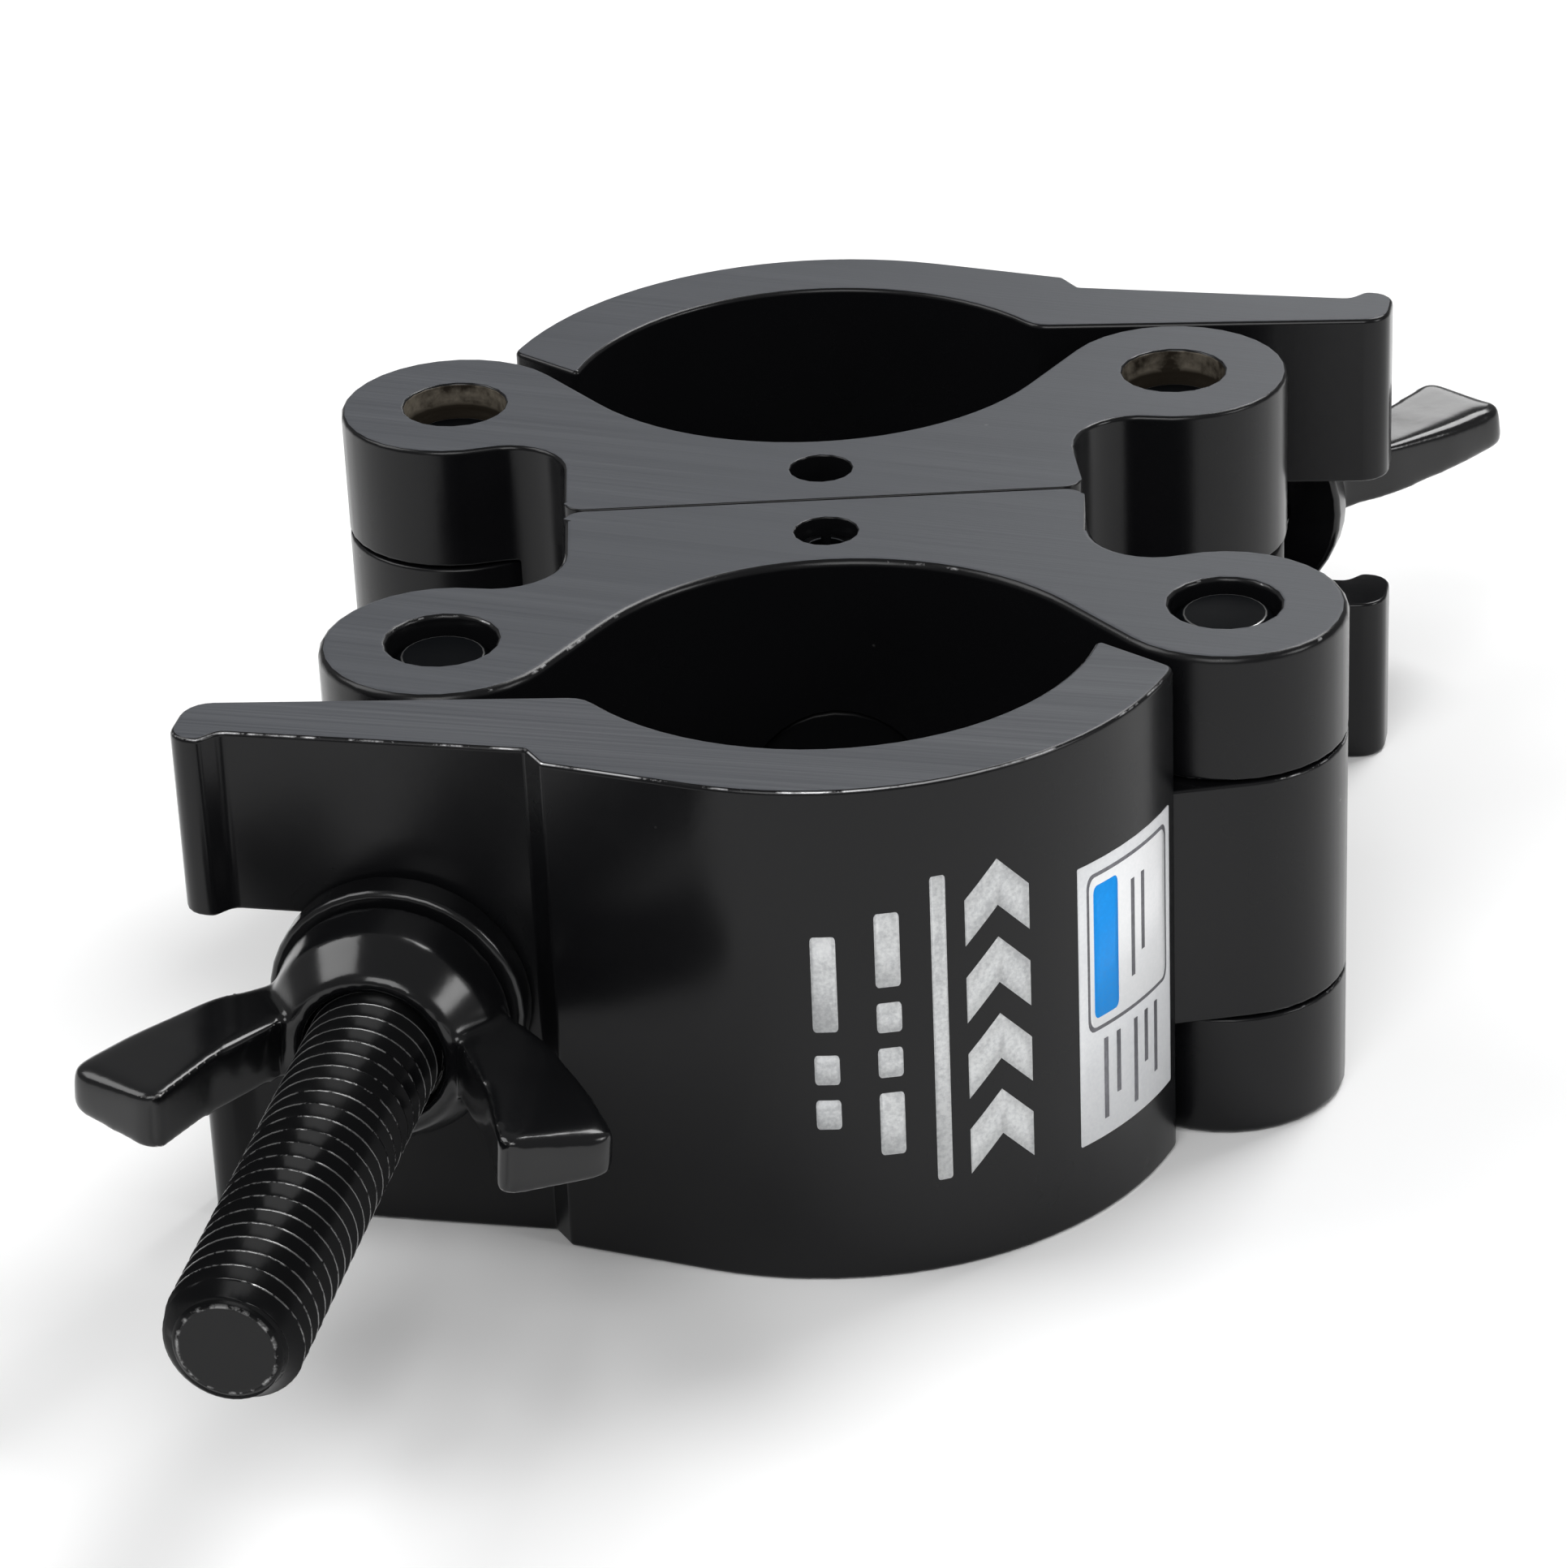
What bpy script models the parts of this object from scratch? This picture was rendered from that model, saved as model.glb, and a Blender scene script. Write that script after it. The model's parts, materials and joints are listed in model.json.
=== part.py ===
"""Swivel scaffold coupler for 2 inch tube.

Two equal half couplers, cut from an aluminium extrusion, stand back to back and turn on one
pivot. Each half is a saddle, a jaw hinged on a pin, and an eyebolt that swings into the jaw's
fork and is closed by a washer and a wing nut. X runs to the right, Y away from the front half,
Z up along both tubes. The origin is on the floor below the middle of the seam.
"""

import math

import bmesh
import bpy
from mathutils import Matrix, Vector

MM = 0.001

# Extrusion and saddle
WIDTH = 50.0 * MM  # sawn length of both halves, along the tube
TUBE_BORE_R = 25.5 * MM  # cradle for 51 mm tube
CRADLE_WALL = 13.5 * MM  # seam to the crown of the saddle's cradle
LOBE_OVERLAP = 1.1 * MM  # how far the lobes round the pins reach over the side of the cradle
PIN_Y = 26.1 * MM  # seam to the pins' plane
LOBE_R = 11.3 * MM  # lobes round the pins
NECK_HALF = 24.8 * MM  # half width of the flat neck at the seam
NECK_FILLET = 6.0 * MM  # neck to lobe
SEAM_CORNER = 2.0 * MM  # rounded corners that make the notch at the seam

# Pins and knuckles
PIN_R = 4.8 * MM
PIN_LENGTH = 45.0 * MM
PIN_CHAMFER = 1.0 * MM
HINGE_SLOT = 25.0 * MM  # room for the jaw's centre knuckle
EYE_SLOT = 14.6 * MM  # room for the eye
EYE_R = 11.0 * MM

# Jaw
JAW_BORE_X = -1.0 * MM  # axis of the jaw's bore when it is closed with no tube
JAW_BORE_Y = -25.2 * MM
JAW_WALL = 8.2 * MM  # bore to the round back
END_GAP = 1.5 * MM  # jaw end face to the saddle's lobe
CLAMP_ANGLE = 12.6  # degrees, lean of the closed bolt and of the fork's face
FORK_FACE = 20.0 * MM  # eyebolt pin to the fork's outer face
FORK_TIP = 5.0 * MM  # fork thickness near its tip
FORK_ROOT = 10.1 * MM  # fork thickness at its root
FORK_REACH = 19.9 * MM  # bolt axis to the fork's tip
FORK_STEP = 12.4 * MM  # bolt axis to the step at the fork's root
STEP_RISE = 2.4 * MM
LIP_RISE = 1.7 * MM  # lip that keeps the washer on the fork
LIP_START = 15.9 * MM
FORK_SLOT = 14.0 * MM
FORK_SLOT_OFFSET = 1.0 * MM  # centre of the slot's round end, past the bolt axis
INNER_CORNER = 3.0 * MM  # fork to bore

# Eyebolt, washer and wing nut
BOLT_R = 6.1 * MM
BOLT_ROOT_R = 5.1 * MM
FRONT_BOLT_LENGTH = 78.8 * MM  # pin to the bolt's end
REAR_BOLT_LENGTH = 60.0 * MM  # hidden behind the rear fork
THREAD_START = 15.0 * MM
THREAD_PITCH = 2.1 * MM
SHANK_R = 5.5 * MM
WASHER_R = 11.8 * MM
WASHER_T = 3.4 * MM
HUB_R = 10.9 * MM
HUB_NOSE_R = 8.2 * MM
HUB_HEIGHT = 8.7 * MM
WING_SPAN = 25.1 * MM  # bolt axis to a wing's tip
WING_RISE = 24.0 * MM  # nut base to the top of a wing
WING_TIP_T = 4.8 * MM
WING_ROOT_T = 6.2 * MM
FRONT_NUT_ROLL = -3.7  # degrees, left wing up
REAR_NUT_ROLL = -4.0

# Rest pose of the loose rear eyebolt
REAR_BOLT_ANGLE = 20.0
REAR_WASHER_SEAT = 22.2 * MM

# Pivot
PIVOT_R = 6.0 * MM
PIVOT_STUD_R = 4.0 * MM
PIVOT_HEAD_R = 9.0 * MM
PIVOT_HEAD_T = 2.8 * MM
HEAD_RECESS = 0.5 * MM  # heads lie below the crown of the cradle
SOCKET_R = 3.5 * MM
CROSS_HOLE_R = 3.0 * MM
CROSS_HOLE_Y = 7.0 * MM
LOCK_PIN_R = 2.7 * MM
LOCK_PIN_WALL = 0.9 * MM
LOCK_PIN_LENGTH = 44.0 * MM
LOCK_PIN_TOP = 1.6 * MM  # below the sawn face

# Clearances
GAP = 0.3 * MM
SEAM_GAP = 0.3 * MM
KNUCKLE_RELIEF = 1.0 * MM  # saddle round the jaw's centre knuckle
EYE_RELIEF = 0.8 * MM  # saddle round the eye
WELD = 0.002 * MM

# Derived
MID = WIDTH / 2
PIN_HOLE_R = PIN_R + GAP
PIN_X = TUBE_BORE_R + LOBE_R - LOBE_OVERLAP  # pins, left and right of the pivot
BORE_DEPTH = TUBE_BORE_R + CRADLE_WALL  # seam to the axis of the cradle
JAW_OUTER_R = TUBE_BORE_R + JAW_WALL
HINGE = Vector((PIN_X, -PIN_Y))
EYE = Vector((-PIN_X, -PIN_Y))
JAW_CENTRE = Vector((JAW_BORE_X, JAW_BORE_Y))
KNUCKLE_LENGTH = HINGE_SLOT - 2 * GAP
EYE_T = EYE_SLOT - 2 * GAP
HEAD_FACE = CRADLE_WALL - HEAD_RECESS
HEAD_SEAT = HEAD_FACE - PIVOT_HEAD_T
FRONT_WASHER_SEAT = FORK_FACE + GAP
NUT_OFFSET = WASHER_T + GAP
BORE_CLEAR_R = BOLT_R + GAP

BLACK_ALUMINIUM = ((0.016, 0.016, 0.017, 1.0), 0.42, 0.55)
BLACK_STEEL = ((0.012, 0.012, 0.013, 1.0), 0.30, 0.70)
BRIGHT_STEEL = ((0.30, 0.29, 0.28, 1.0), 0.38, 1.0)


def clear_scene():
    """Remove every object of the open scene."""
    for obj in list(bpy.data.objects):
        bpy.data.objects.remove(obj, do_unlink=True)


def new_collection(name):
    """A collection of this name, linked to the scene."""
    collection = bpy.data.collections.get(name) or bpy.data.collections.new(name)
    if collection.name not in bpy.context.scene.collection.children:
        bpy.context.scene.collection.children.link(collection)
    return collection


def unit(degrees):
    """Unit vector in the plane at an angle in degrees."""
    return Vector((math.cos(math.radians(degrees)), math.sin(math.radians(degrees))))


def angle_of(vector):
    """Angle of a plane vector in degrees."""
    return math.degrees(math.atan2(vector.y, vector.x))


def arc(centre, radius, start, end, step=8.0):
    """Points on a circle from one angle to another, both ends included."""
    count = max(2, math.ceil(abs(end - start) / step))
    return [centre + radius * unit(start + (end - start) * i / count) for i in range(count + 1)]


def circle(centre, radius, sides):
    """A closed round loop."""
    return [centre + radius * unit(360.0 * i / sides) for i in range(sides)]


def corner(before, tip, after, radius, step=20.0):
    """Points of the round that replaces the corner at tip."""
    a = (before - tip).normalized()
    b = (after - tip).normalized()
    half = a.angle(b) / 2
    reach = radius / math.tan(half)
    centre = tip + (a + b).normalized() * (radius / math.sin(half))
    start = angle_of(tip + a * reach - centre)
    sweep = (angle_of(tip + b * reach - centre) - start + 180.0) % 360.0 - 180.0
    return arc(centre, radius, start, start + sweep, step)


def rounded(corners, closed=True):
    """A polygon given as (point, radius) with each corner rounded by its radius."""
    points = []
    count = len(corners)
    for i, (tip, radius) in enumerate(corners):
        if radius <= 0.0 or (not closed and i in (0, count - 1)):
            points.append(tip)
        else:
            points += corner(corners[i - 1][0], tip, corners[(i + 1) % count][0], radius)
    return points


def line_circle(origin, direction, centre, radius, far):
    """Where a line meets a circle: the far or the near crossing along the direction."""
    direction = direction.normalized()
    along = (centre - origin).dot(direction)
    foot = origin + along * direction
    half = math.sqrt(radius**2 - (centre - foot).length_squared)
    return foot + direction * (half if far else -half)


def tangent_angle(point, centre, radius, side):
    """Angle on a circle where the tangent from an outside point touches it."""
    offset = point - centre
    return angle_of(offset) + side * math.degrees(math.acos(radius / offset.length))


def closed_mesh(mesh):
    """Weld a mesh and point its faces outward."""
    work = bmesh.new()
    work.from_mesh(mesh)
    bmesh.ops.remove_doubles(work, verts=work.verts, dist=WELD)
    bmesh.ops.recalc_face_normals(work, faces=work.faces)
    work.to_mesh(mesh)
    work.free()
    return mesh


def evaluated(obj):
    """The mesh of an object with its modifiers, as new data."""
    bpy.context.view_layer.update()
    depsgraph = bpy.context.evaluated_depsgraph_get()
    return bpy.data.meshes.new_from_object(obj.evaluated_get(depsgraph))


def bench(name, data):
    """A working object, out of the render, in the cutters' collection."""
    obj = bpy.data.objects.new(name + "_blank", data)
    obj.hide_render = True
    obj.display_type = "WIRE"
    CUTTERS.objects.link(obj)
    return obj


def plate(name, loops, thickness):
    """A flat outline with holes, filled and extruded to both sides of its plane."""
    curve = bpy.data.curves.new(name, "CURVE")
    curve.dimensions = "2D"
    curve.fill_mode = "BOTH"
    curve.extrude = thickness / 2
    for loop in loops:
        spline = curve.splines.new("POLY")
        spline.points.add(len(loop) - 1)
        for point, place in zip(spline.points, loop):
            point.co = (place.x, place.y, 0.0, 1.0)
        spline.use_cyclic_u = True
    guide = bench(name, curve)
    mesh = closed_mesh(evaluated(guide))
    bpy.data.objects.remove(guide, do_unlink=True)
    return bench(name, mesh)


def turned(name, profile, steps, closed=True):
    """A profile of (radius, height), running down its outer side, turned about Z."""
    mesh = bpy.data.meshes.new(name)
    work = bmesh.new()
    verts = [work.verts.new((r, 0.0, z)) for r, z in profile]
    for first, second in zip(verts, verts[1:]):
        work.edges.new((first, second))
    if closed:
        work.edges.new((verts[-1], verts[0]))
    work.to_mesh(mesh)
    work.free()
    obj = bench(name, mesh)
    screw = obj.modifiers.new("Turn", "SCREW")
    screw.axis = "Z"
    screw.steps = steps
    screw.render_steps = steps
    screw.use_merge_vertices = True
    screw.merge_threshold = WELD
    return bake(obj)


def bake(obj):
    """Put an object's modifiers into its mesh."""
    mesh = closed_mesh(evaluated(obj))
    obj.modifiers.clear()
    obj.data = mesh
    return obj


def move(obj, matrix):
    """Move an object's mesh in its own frame."""
    obj.data.transform(matrix)
    return obj


def combine(obj, operation, *others):
    """Cut, join or trim a working object with others, which are then put away."""
    for other in others:
        boolean = obj.modifiers.new(other.name, "BOOLEAN")
        boolean.operation = operation
        boolean.solver = "EXACT"
        boolean.object = other
        bake(obj)
        bpy.data.objects.remove(other, do_unlink=True)
    return obj


def rod(name, radius, length, sides, matrix=Matrix.Identity(4)):
    """A plain cylinder about its own Z."""
    mesh = bpy.data.meshes.new(name)
    work = bmesh.new()
    bmesh.ops.create_cone(
        work, cap_ends=True, segments=sides, radius1=radius, radius2=radius, depth=length, matrix=matrix
    )
    work.to_mesh(mesh)
    work.free()
    return bench(name, mesh)


def shift(x, y, z):
    """A translation."""
    return Matrix.Translation((x, y, z))


def bolt_frame(degrees):
    """Frame of an eyebolt: Z out along the bolt, Y up along the pin, leaning left by the angle."""
    return Matrix.Rotation(math.radians(-degrees), 4, "Z") @ Matrix.Rotation(math.pi / 2, 4, "X")


def along_y():
    """Frame of the pivot: Z runs out of the seam toward the front."""
    return Matrix.Rotation(math.pi / 2, 4, "X")


def fork_point(outward, lateral):
    """Plane point given along and across the closed bolt, from the eyebolt pin."""
    direction = unit(-90.0 - CLAMP_ANGLE)
    across = unit(-CLAMP_ANGLE)
    return EYE + outward * direction + lateral * across


def saddle_half_outline():
    """Right half of the saddle's outline, from the seam to the crown of the cradle."""
    seam = -SEAM_GAP / 2
    points = arc(Vector((NECK_HALF - SEAM_CORNER, seam - SEAM_CORNER)), SEAM_CORNER, 90.0, 0.0, 15.0)
    fillet_x = NECK_HALF + NECK_FILLET
    reach = LOBE_R + NECK_FILLET
    fillet = Vector((fillet_x, HINGE.y + math.sqrt(reach**2 - (PIN_X - fillet_x) ** 2)))
    meet = angle_of(fillet - HINGE)
    points += arc(fillet, NECK_FILLET, 180.0, meet + 180.0, 12.0)
    bore = Vector((0.0, -BORE_DEPTH))
    line = bore - HINGE
    turn = math.degrees(math.acos((LOBE_R + TUBE_BORE_R) / line.length))
    leave = angle_of(line) + turn
    while leave > meet:
        leave -= 360.0
    while leave < meet - 360.0:
        leave += 360.0
    points += arc(HINGE, LOBE_R, meet, leave, 11.0)[1:]
    join = (leave + 180.0) % 360.0
    return points + arc(bore, TUBE_BORE_R, join, 90.0, 5.0)


def make_saddle():
    """Saddle: cradle, neck, two lobes with pin holes, knuckle slots and the pivot's bore."""
    right = saddle_half_outline()
    left = [Vector((-p.x, p.y)) for p in reversed(right[:-1])]
    loops = [
        right + left,
        circle(HINGE, PIN_HOLE_R, 20),
        circle(EYE, PIN_HOLE_R, 20),
        circle(Vector((0.0, -CROSS_HOLE_Y)), CROSS_HOLE_R, 16),
    ]
    saddle = plate("saddle", loops, WIDTH)
    knuckle = rod("knuckle_slot", LOBE_R + KNUCKLE_RELIEF, HINGE_SLOT, 40, shift(HINGE.x, HINGE.y, 0.0))
    eye = rod("eye_slot", EYE_R + EYE_RELIEF, EYE_SLOT, 40, shift(EYE.x, EYE.y, 0.0))
    pivot = rod("pivot_bore", PIVOT_R + GAP, 4 * CRADLE_WALL, 24, along_y())
    sink_floor = HEAD_SEAT - GAP
    sink = rod("pivot_sink", PIVOT_HEAD_R + GAP, CRADLE_WALL, 32, along_y() @ shift(0.0, 0.0, sink_floor + CRADLE_WALL / 2))
    return combine(saddle, "DIFFERENCE", knuckle, eye, pivot, sink).data


def jaw_outline():
    """Outline of the jaw's full width body: bore, fork with its lip, step, back and end face."""
    tip_inner = FORK_FACE - FORK_TIP
    root_inner = FORK_FACE - FORK_ROOT
    inner_tip = fork_point(tip_inner - 0.4 * MM, -FORK_REACH)
    inner_root = fork_point(root_inner, FORK_STEP)
    run = (inner_root - inner_tip).normalized()
    inward = Vector((run.y, -run.x))
    reach = TUBE_BORE_R + INNER_CORNER
    round_centre = line_circle(inner_tip + inward * INNER_CORNER, run, JAW_CENTRE, reach, False)
    round_angle = angle_of(round_centre - JAW_CENTRE)
    round_end = round_centre - inward * INNER_CORNER

    away = (JAW_CENTRE - HINGE).normalized()
    face_angle = angle_of(away) + 48.2
    face_normal = unit(face_angle)
    face_foot = HINGE + (LOBE_R + END_GAP) * face_normal
    face_run = Vector((-face_normal.y, face_normal.x))
    if face_run.y > 0.0:
        face_run = -face_run
    inner_end = line_circle(face_foot, face_run, JAW_CENTRE, TUBE_BORE_R, True)
    outer_end = line_circle(face_foot, face_run, JAW_CENTRE, JAW_OUTER_R, True)

    bore_start = angle_of(inner_end - JAW_CENTRE) - 2.5
    points = arc(JAW_CENTRE, TUBE_BORE_R, bore_start, round_angle, 5.0)
    points += arc(round_centre, INNER_CORNER, round_angle + 180.0, angle_of(round_end - round_centre), 18.0)[1:]
    step_top = fork_point(FORK_FACE + STEP_RISE, FORK_STEP + 2.0 * MM)
    back_start = tangent_angle(step_top, JAW_CENTRE, JAW_OUTER_R, 1.0)
    back = arc(JAW_CENTRE, JAW_OUTER_R, back_start, angle_of(outer_end - JAW_CENTRE) - 2.6, 4.0)
    fork = [
        (round_end, 0.0),
        (inner_tip, 2.9 * MM),
        (fork_point(FORK_FACE + LIP_RISE, -FORK_REACH), 2.3 * MM),
        (fork_point(FORK_FACE + LIP_RISE, -LIP_START - 0.9 * MM), 1.0 * MM),
        (fork_point(FORK_FACE, -LIP_START + 0.5 * MM), 1.4 * MM),
        (fork_point(FORK_FACE, FORK_STEP), 0.5 * MM),
        (step_top, 0.7 * MM),
        (back[0], 0.0),
    ]
    points += rounded(fork, closed=False)[1:-1]
    points += back
    points += corner(back[-1], outer_end, inner_end, 1.2 * MM)
    points += corner(outer_end, inner_end, points[0], 0.6 * MM)
    return points


def make_jaw():
    """Jaw: curved body, slotted fork and the centre knuckle on its web. Origin on the hinge."""
    jaw = plate("jaw", [jaw_outline()], WIDTH)
    web_in = JAW_CENTRE + (TUBE_BORE_R + 1.0 * MM) * unit(-19.4)
    web_out = JAW_CENTRE + (JAW_OUTER_R - 0.6 * MM) * unit(-23.3)
    start = tangent_angle(web_out, HINGE, LOBE_R, 1.0) % 360.0
    end = tangent_angle(web_in, HINGE, LOBE_R, -1.0) % 360.0 + 360.0
    knuckle = arc(HINGE, LOBE_R, start, end, 9.0)
    knuckle += [
        web_in,
        JAW_CENTRE + (TUBE_BORE_R + 1.7 * MM) * unit(-26.2),
        JAW_CENTRE + (JAW_OUTER_R - 1.7 * MM) * unit(-29.6),
        web_out,
    ]
    web = plate("knuckle", [knuckle, circle(HINGE, PIN_HOLE_R, 24)], KNUCKLE_LENGTH)
    combine(jaw, "UNION", web)

    half = FORK_SLOT / 2
    slot_loop = arc(Vector((FORK_SLOT_OFFSET, 0.0)), half, -90.0, 90.0, 15.0)
    slot_loop += [Vector((-2 * FORK_REACH, half)), Vector((-2 * FORK_REACH, -half))]
    slot = plate("fork_slot", [slot_loop], 2 * FORK_FACE)
    move(slot, shift(EYE.x, EYE.y, 0.0) @ bolt_frame(CLAMP_ANGLE) @ shift(0.0, 0.0, 1.2 * FORK_FACE))
    combine(jaw, "DIFFERENCE", slot)
    return move(jaw, shift(-HINGE.x, -HINGE.y, 0.0)).data


def make_pin():
    """Plain pin with chamfered ends."""
    half = PIN_LENGTH / 2
    flat = PIN_R - PIN_CHAMFER
    profile = [(0.0, half), (flat, half), (PIN_R, half - PIN_CHAMFER)]
    profile += [(PIN_R, PIN_CHAMFER - half), (flat, -half), (0.0, -half)]
    return turned("pin", profile, 24, closed=False).data


def make_thread(length):
    """Helical thread, trimmed to the bolt's length and chamfered at its end."""
    turns = math.ceil((length - THREAD_START) / THREAD_PITCH) + 3
    profile = [(BOLT_ROOT_R, 1.0), (BOLT_R, 0.5), (BOLT_ROOT_R, 0.0)]
    mesh = bpy.data.meshes.new("thread")
    work = bmesh.new()
    verts = [work.verts.new((r, 0.0, z * THREAD_PITCH)) for r, z in profile]
    for first, second in zip(verts, verts[1:]):
        work.edges.new((first, second))
    work.to_mesh(mesh)
    work.free()
    thread = bench("thread", mesh)
    screw = thread.modifiers.new("Helix", "SCREW")
    screw.axis = "Z"
    screw.steps = 16
    screw.render_steps = 16
    screw.iterations = turns
    screw.screw_offset = THREAD_PITCH
    screw.use_merge_vertices = True
    screw.merge_threshold = WELD
    helix = evaluated(thread)
    thread.modifiers.clear()

    work = bmesh.new()
    work.from_mesh(helix)
    bmesh.ops.remove_doubles(work, verts=work.verts, dist=WELD)
    middle = turns * THREAD_PITCH / 2
    for above in (False, True):
        rim = [e for e in work.edges if e.is_boundary and (e.verts[0].co.z > middle) == above]
        grown = bmesh.ops.extrude_edge_only(work, edges=rim)["geom"]
        new_verts = [g for g in grown if isinstance(g, bmesh.types.BMVert)]
        height = sum(v.co.z for v in new_verts) / len(new_verts)
        bmesh.ops.pointmerge(work, verts=new_verts, merge_co=(0.0, 0.0, height))
    bmesh.ops.recalc_face_normals(work, faces=work.faces)
    work.to_mesh(helix)
    work.free()
    thread.data = helix
    move(thread, shift(0.0, 0.0, THREAD_START - 1.6 * THREAD_PITCH))

    outside = BOLT_R + 1.0 * MM
    chamfer = [(0.0, length), (BOLT_ROOT_R, length), (outside, length - outside + BOLT_ROOT_R)]
    chamfer += [(outside, THREAD_START), (0.0, THREAD_START)]
    return combine(thread, "INTERSECT", turned("thread_trim", chamfer, 32, closed=False))


def make_eyebolt(length):
    """Eyebolt: round eye with its pin hole, plain shank and a helical thread. Origin on the eye's axis."""
    across = Matrix.Rotation(math.pi / 2, 4, "X")
    eyebolt = rod("eyebolt", EYE_R, EYE_T, 40, across)
    shank = rod("shank", SHANK_R, THREAD_START + 1.0 * MM, 32, shift(0.0, 0.0, (THREAD_START + 1.0 * MM) / 2))
    combine(eyebolt, "UNION", shank)
    combine(eyebolt, "UNION", make_thread(length))
    return combine(eyebolt, "DIFFERENCE", rod("eye_hole", PIN_HOLE_R, 2 * EYE_T, 24, across)).data


def make_washer():
    """Thick round washer with broken edges."""
    edge = 0.4 * MM
    profile = [(BORE_CLEAR_R, WASHER_T), (WASHER_R - edge, WASHER_T), (WASHER_R, WASHER_T - edge)]
    profile += [(WASHER_R, edge), (WASHER_R - edge, 0.0), (BORE_CLEAR_R, 0.0)]
    return turned("washer", profile, 40).data


def make_wing_nut():
    """Wing nut: turned hub and two swept wings that thin out to their tips."""
    shoulder = 0.55 * HUB_HEIGHT
    edge = 0.4 * MM
    profile = [
        (BORE_CLEAR_R + edge, HUB_HEIGHT),
        (HUB_NOSE_R - edge, HUB_HEIGHT),
        (HUB_NOSE_R, HUB_HEIGHT - edge),
        (HUB_R - edge, shoulder),
        (HUB_R, edge),
        (HUB_R - edge, 0.0),
        (BORE_CLEAR_R, 0.0),
        (BORE_CLEAR_R, HUB_HEIGHT - edge),
    ]
    nut = turned("wing_nut", profile, 40)
    root = BORE_CLEAR_R + 1.3 * MM
    outline = [
        (Vector((root, 1.6 * MM)), 0.0),
        (Vector((HUB_R - 0.2 * MM, 2.6 * MM)), 0.0),
        (Vector((0.62 * WING_SPAN, 0.27 * WING_RISE)), 10.0 * MM),
        (Vector((0.82 * WING_SPAN, 0.52 * WING_RISE)), 10.0 * MM),
        (Vector((WING_SPAN, 0.81 * WING_RISE)), 1.8 * MM),
        (Vector((0.61 * WING_SPAN, WING_RISE)), 1.5 * MM),
        (Vector((0.485 * WING_SPAN, 0.66 * WING_RISE)), 8.0 * MM),
        (Vector((HUB_NOSE_R + 0.2 * MM, HUB_HEIGHT + 0.9 * MM)), 1.0 * MM),
        (Vector((root, HUB_HEIGHT - 0.8 * MM)), 0.0),
    ]
    loop = rounded(outline)
    upright = Matrix.Rotation(math.pi / 2, 4, "X")
    for half_turn in (0.0, math.pi):
        wing = move(plate("wing", [loop], WING_TIP_T), upright)
        for vert in wing.data.vertices:
            out = min(max((WING_SPAN - vert.co.x) / (WING_SPAN - HUB_R), 0.0), 1.0)
            vert.co.y *= 1.0 + out * (WING_ROOT_T / WING_TIP_T - 1.0)
        combine(nut, "UNION", move(wing, Matrix.Rotation(half_turn, 4, "Z")))
    return nut.data


def make_pivot_screw():
    """Pivot screw: round head in the front cradle, plain shank with a cross hole, stud to the rear."""
    edge = 0.4 * MM
    stud_end = -(HEAD_SEAT - 1.0 * MM)
    shank_end = SEAM_GAP / 2
    profile = [
        (0.0, HEAD_FACE),
        (PIVOT_HEAD_R - edge, HEAD_FACE),
        (PIVOT_HEAD_R, HEAD_FACE - edge),
        (PIVOT_HEAD_R, HEAD_SEAT),
        (PIVOT_R, HEAD_SEAT),
        (PIVOT_R, shank_end),
        (PIVOT_STUD_R, shank_end),
        (PIVOT_STUD_R, stud_end),
        (0.0, stud_end),
    ]
    screw = turned("pivot_screw", profile, 28, closed=False)
    socket = rod("socket", SOCKET_R, 2 * 1.8 * MM, 6, shift(0.0, 0.0, HEAD_FACE))
    upright = Matrix.Rotation(math.pi / 2, 4, "X")
    cross = rod("cross_hole", CROSS_HOLE_R, 4 * PIVOT_R, 16, shift(0.0, 0.0, CROSS_HOLE_Y) @ upright)
    return combine(screw, "DIFFERENCE", socket, cross).data


def make_pivot_sleeve():
    """Sleeve nut of the pivot: round head in the rear cradle and a barrel that the rear half turns on."""
    edge = 0.4 * MM
    mouth = SEAM_GAP / 2
    floor = HEAD_SEAT - 0.4 * MM
    bore = PIVOT_STUD_R + GAP
    profile = [
        (0.0, HEAD_FACE),
        (PIVOT_HEAD_R - edge, HEAD_FACE),
        (PIVOT_HEAD_R, HEAD_FACE - edge),
        (PIVOT_HEAD_R, HEAD_SEAT),
        (PIVOT_R, HEAD_SEAT),
        (PIVOT_R, mouth),
        (bore, mouth),
        (bore, floor),
        (0.0, floor),
    ]
    sleeve = turned("pivot_sleeve", profile, 28, closed=False)
    return combine(sleeve, "DIFFERENCE", rod("socket", SOCKET_R, 2 * 1.8 * MM, 6, shift(0.0, 0.0, HEAD_FACE))).data


def make_lock_pin():
    """Hollow spring pin with its slot."""
    inner = LOCK_PIN_R - LOCK_PIN_WALL
    outer_turn = math.degrees(math.asin(0.4 * MM / LOCK_PIN_R))
    inner_turn = math.degrees(math.asin(0.4 * MM / inner))
    zero = Vector((0.0, 0.0))
    loop = arc(zero, LOCK_PIN_R, 90.0 + outer_turn, 450.0 - outer_turn, 18.0)
    loop += arc(zero, inner, 450.0 - inner_turn, 90.0 + inner_turn, 18.0)
    return plate("lock_pin", [loop], LOCK_PIN_LENGTH).data


def material(name, look):
    """A plain finish of one colour."""
    colour, roughness, metallic = look
    finish = bpy.data.materials.new(name)
    finish.use_nodes = True
    shader = finish.node_tree.nodes["Principled BSDF"]
    shader.inputs["Base Color"].default_value = colour
    shader.inputs["Roughness"].default_value = roughness
    shader.inputs["Metallic"].default_value = metallic
    finish.diffuse_color = colour
    return finish


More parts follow.
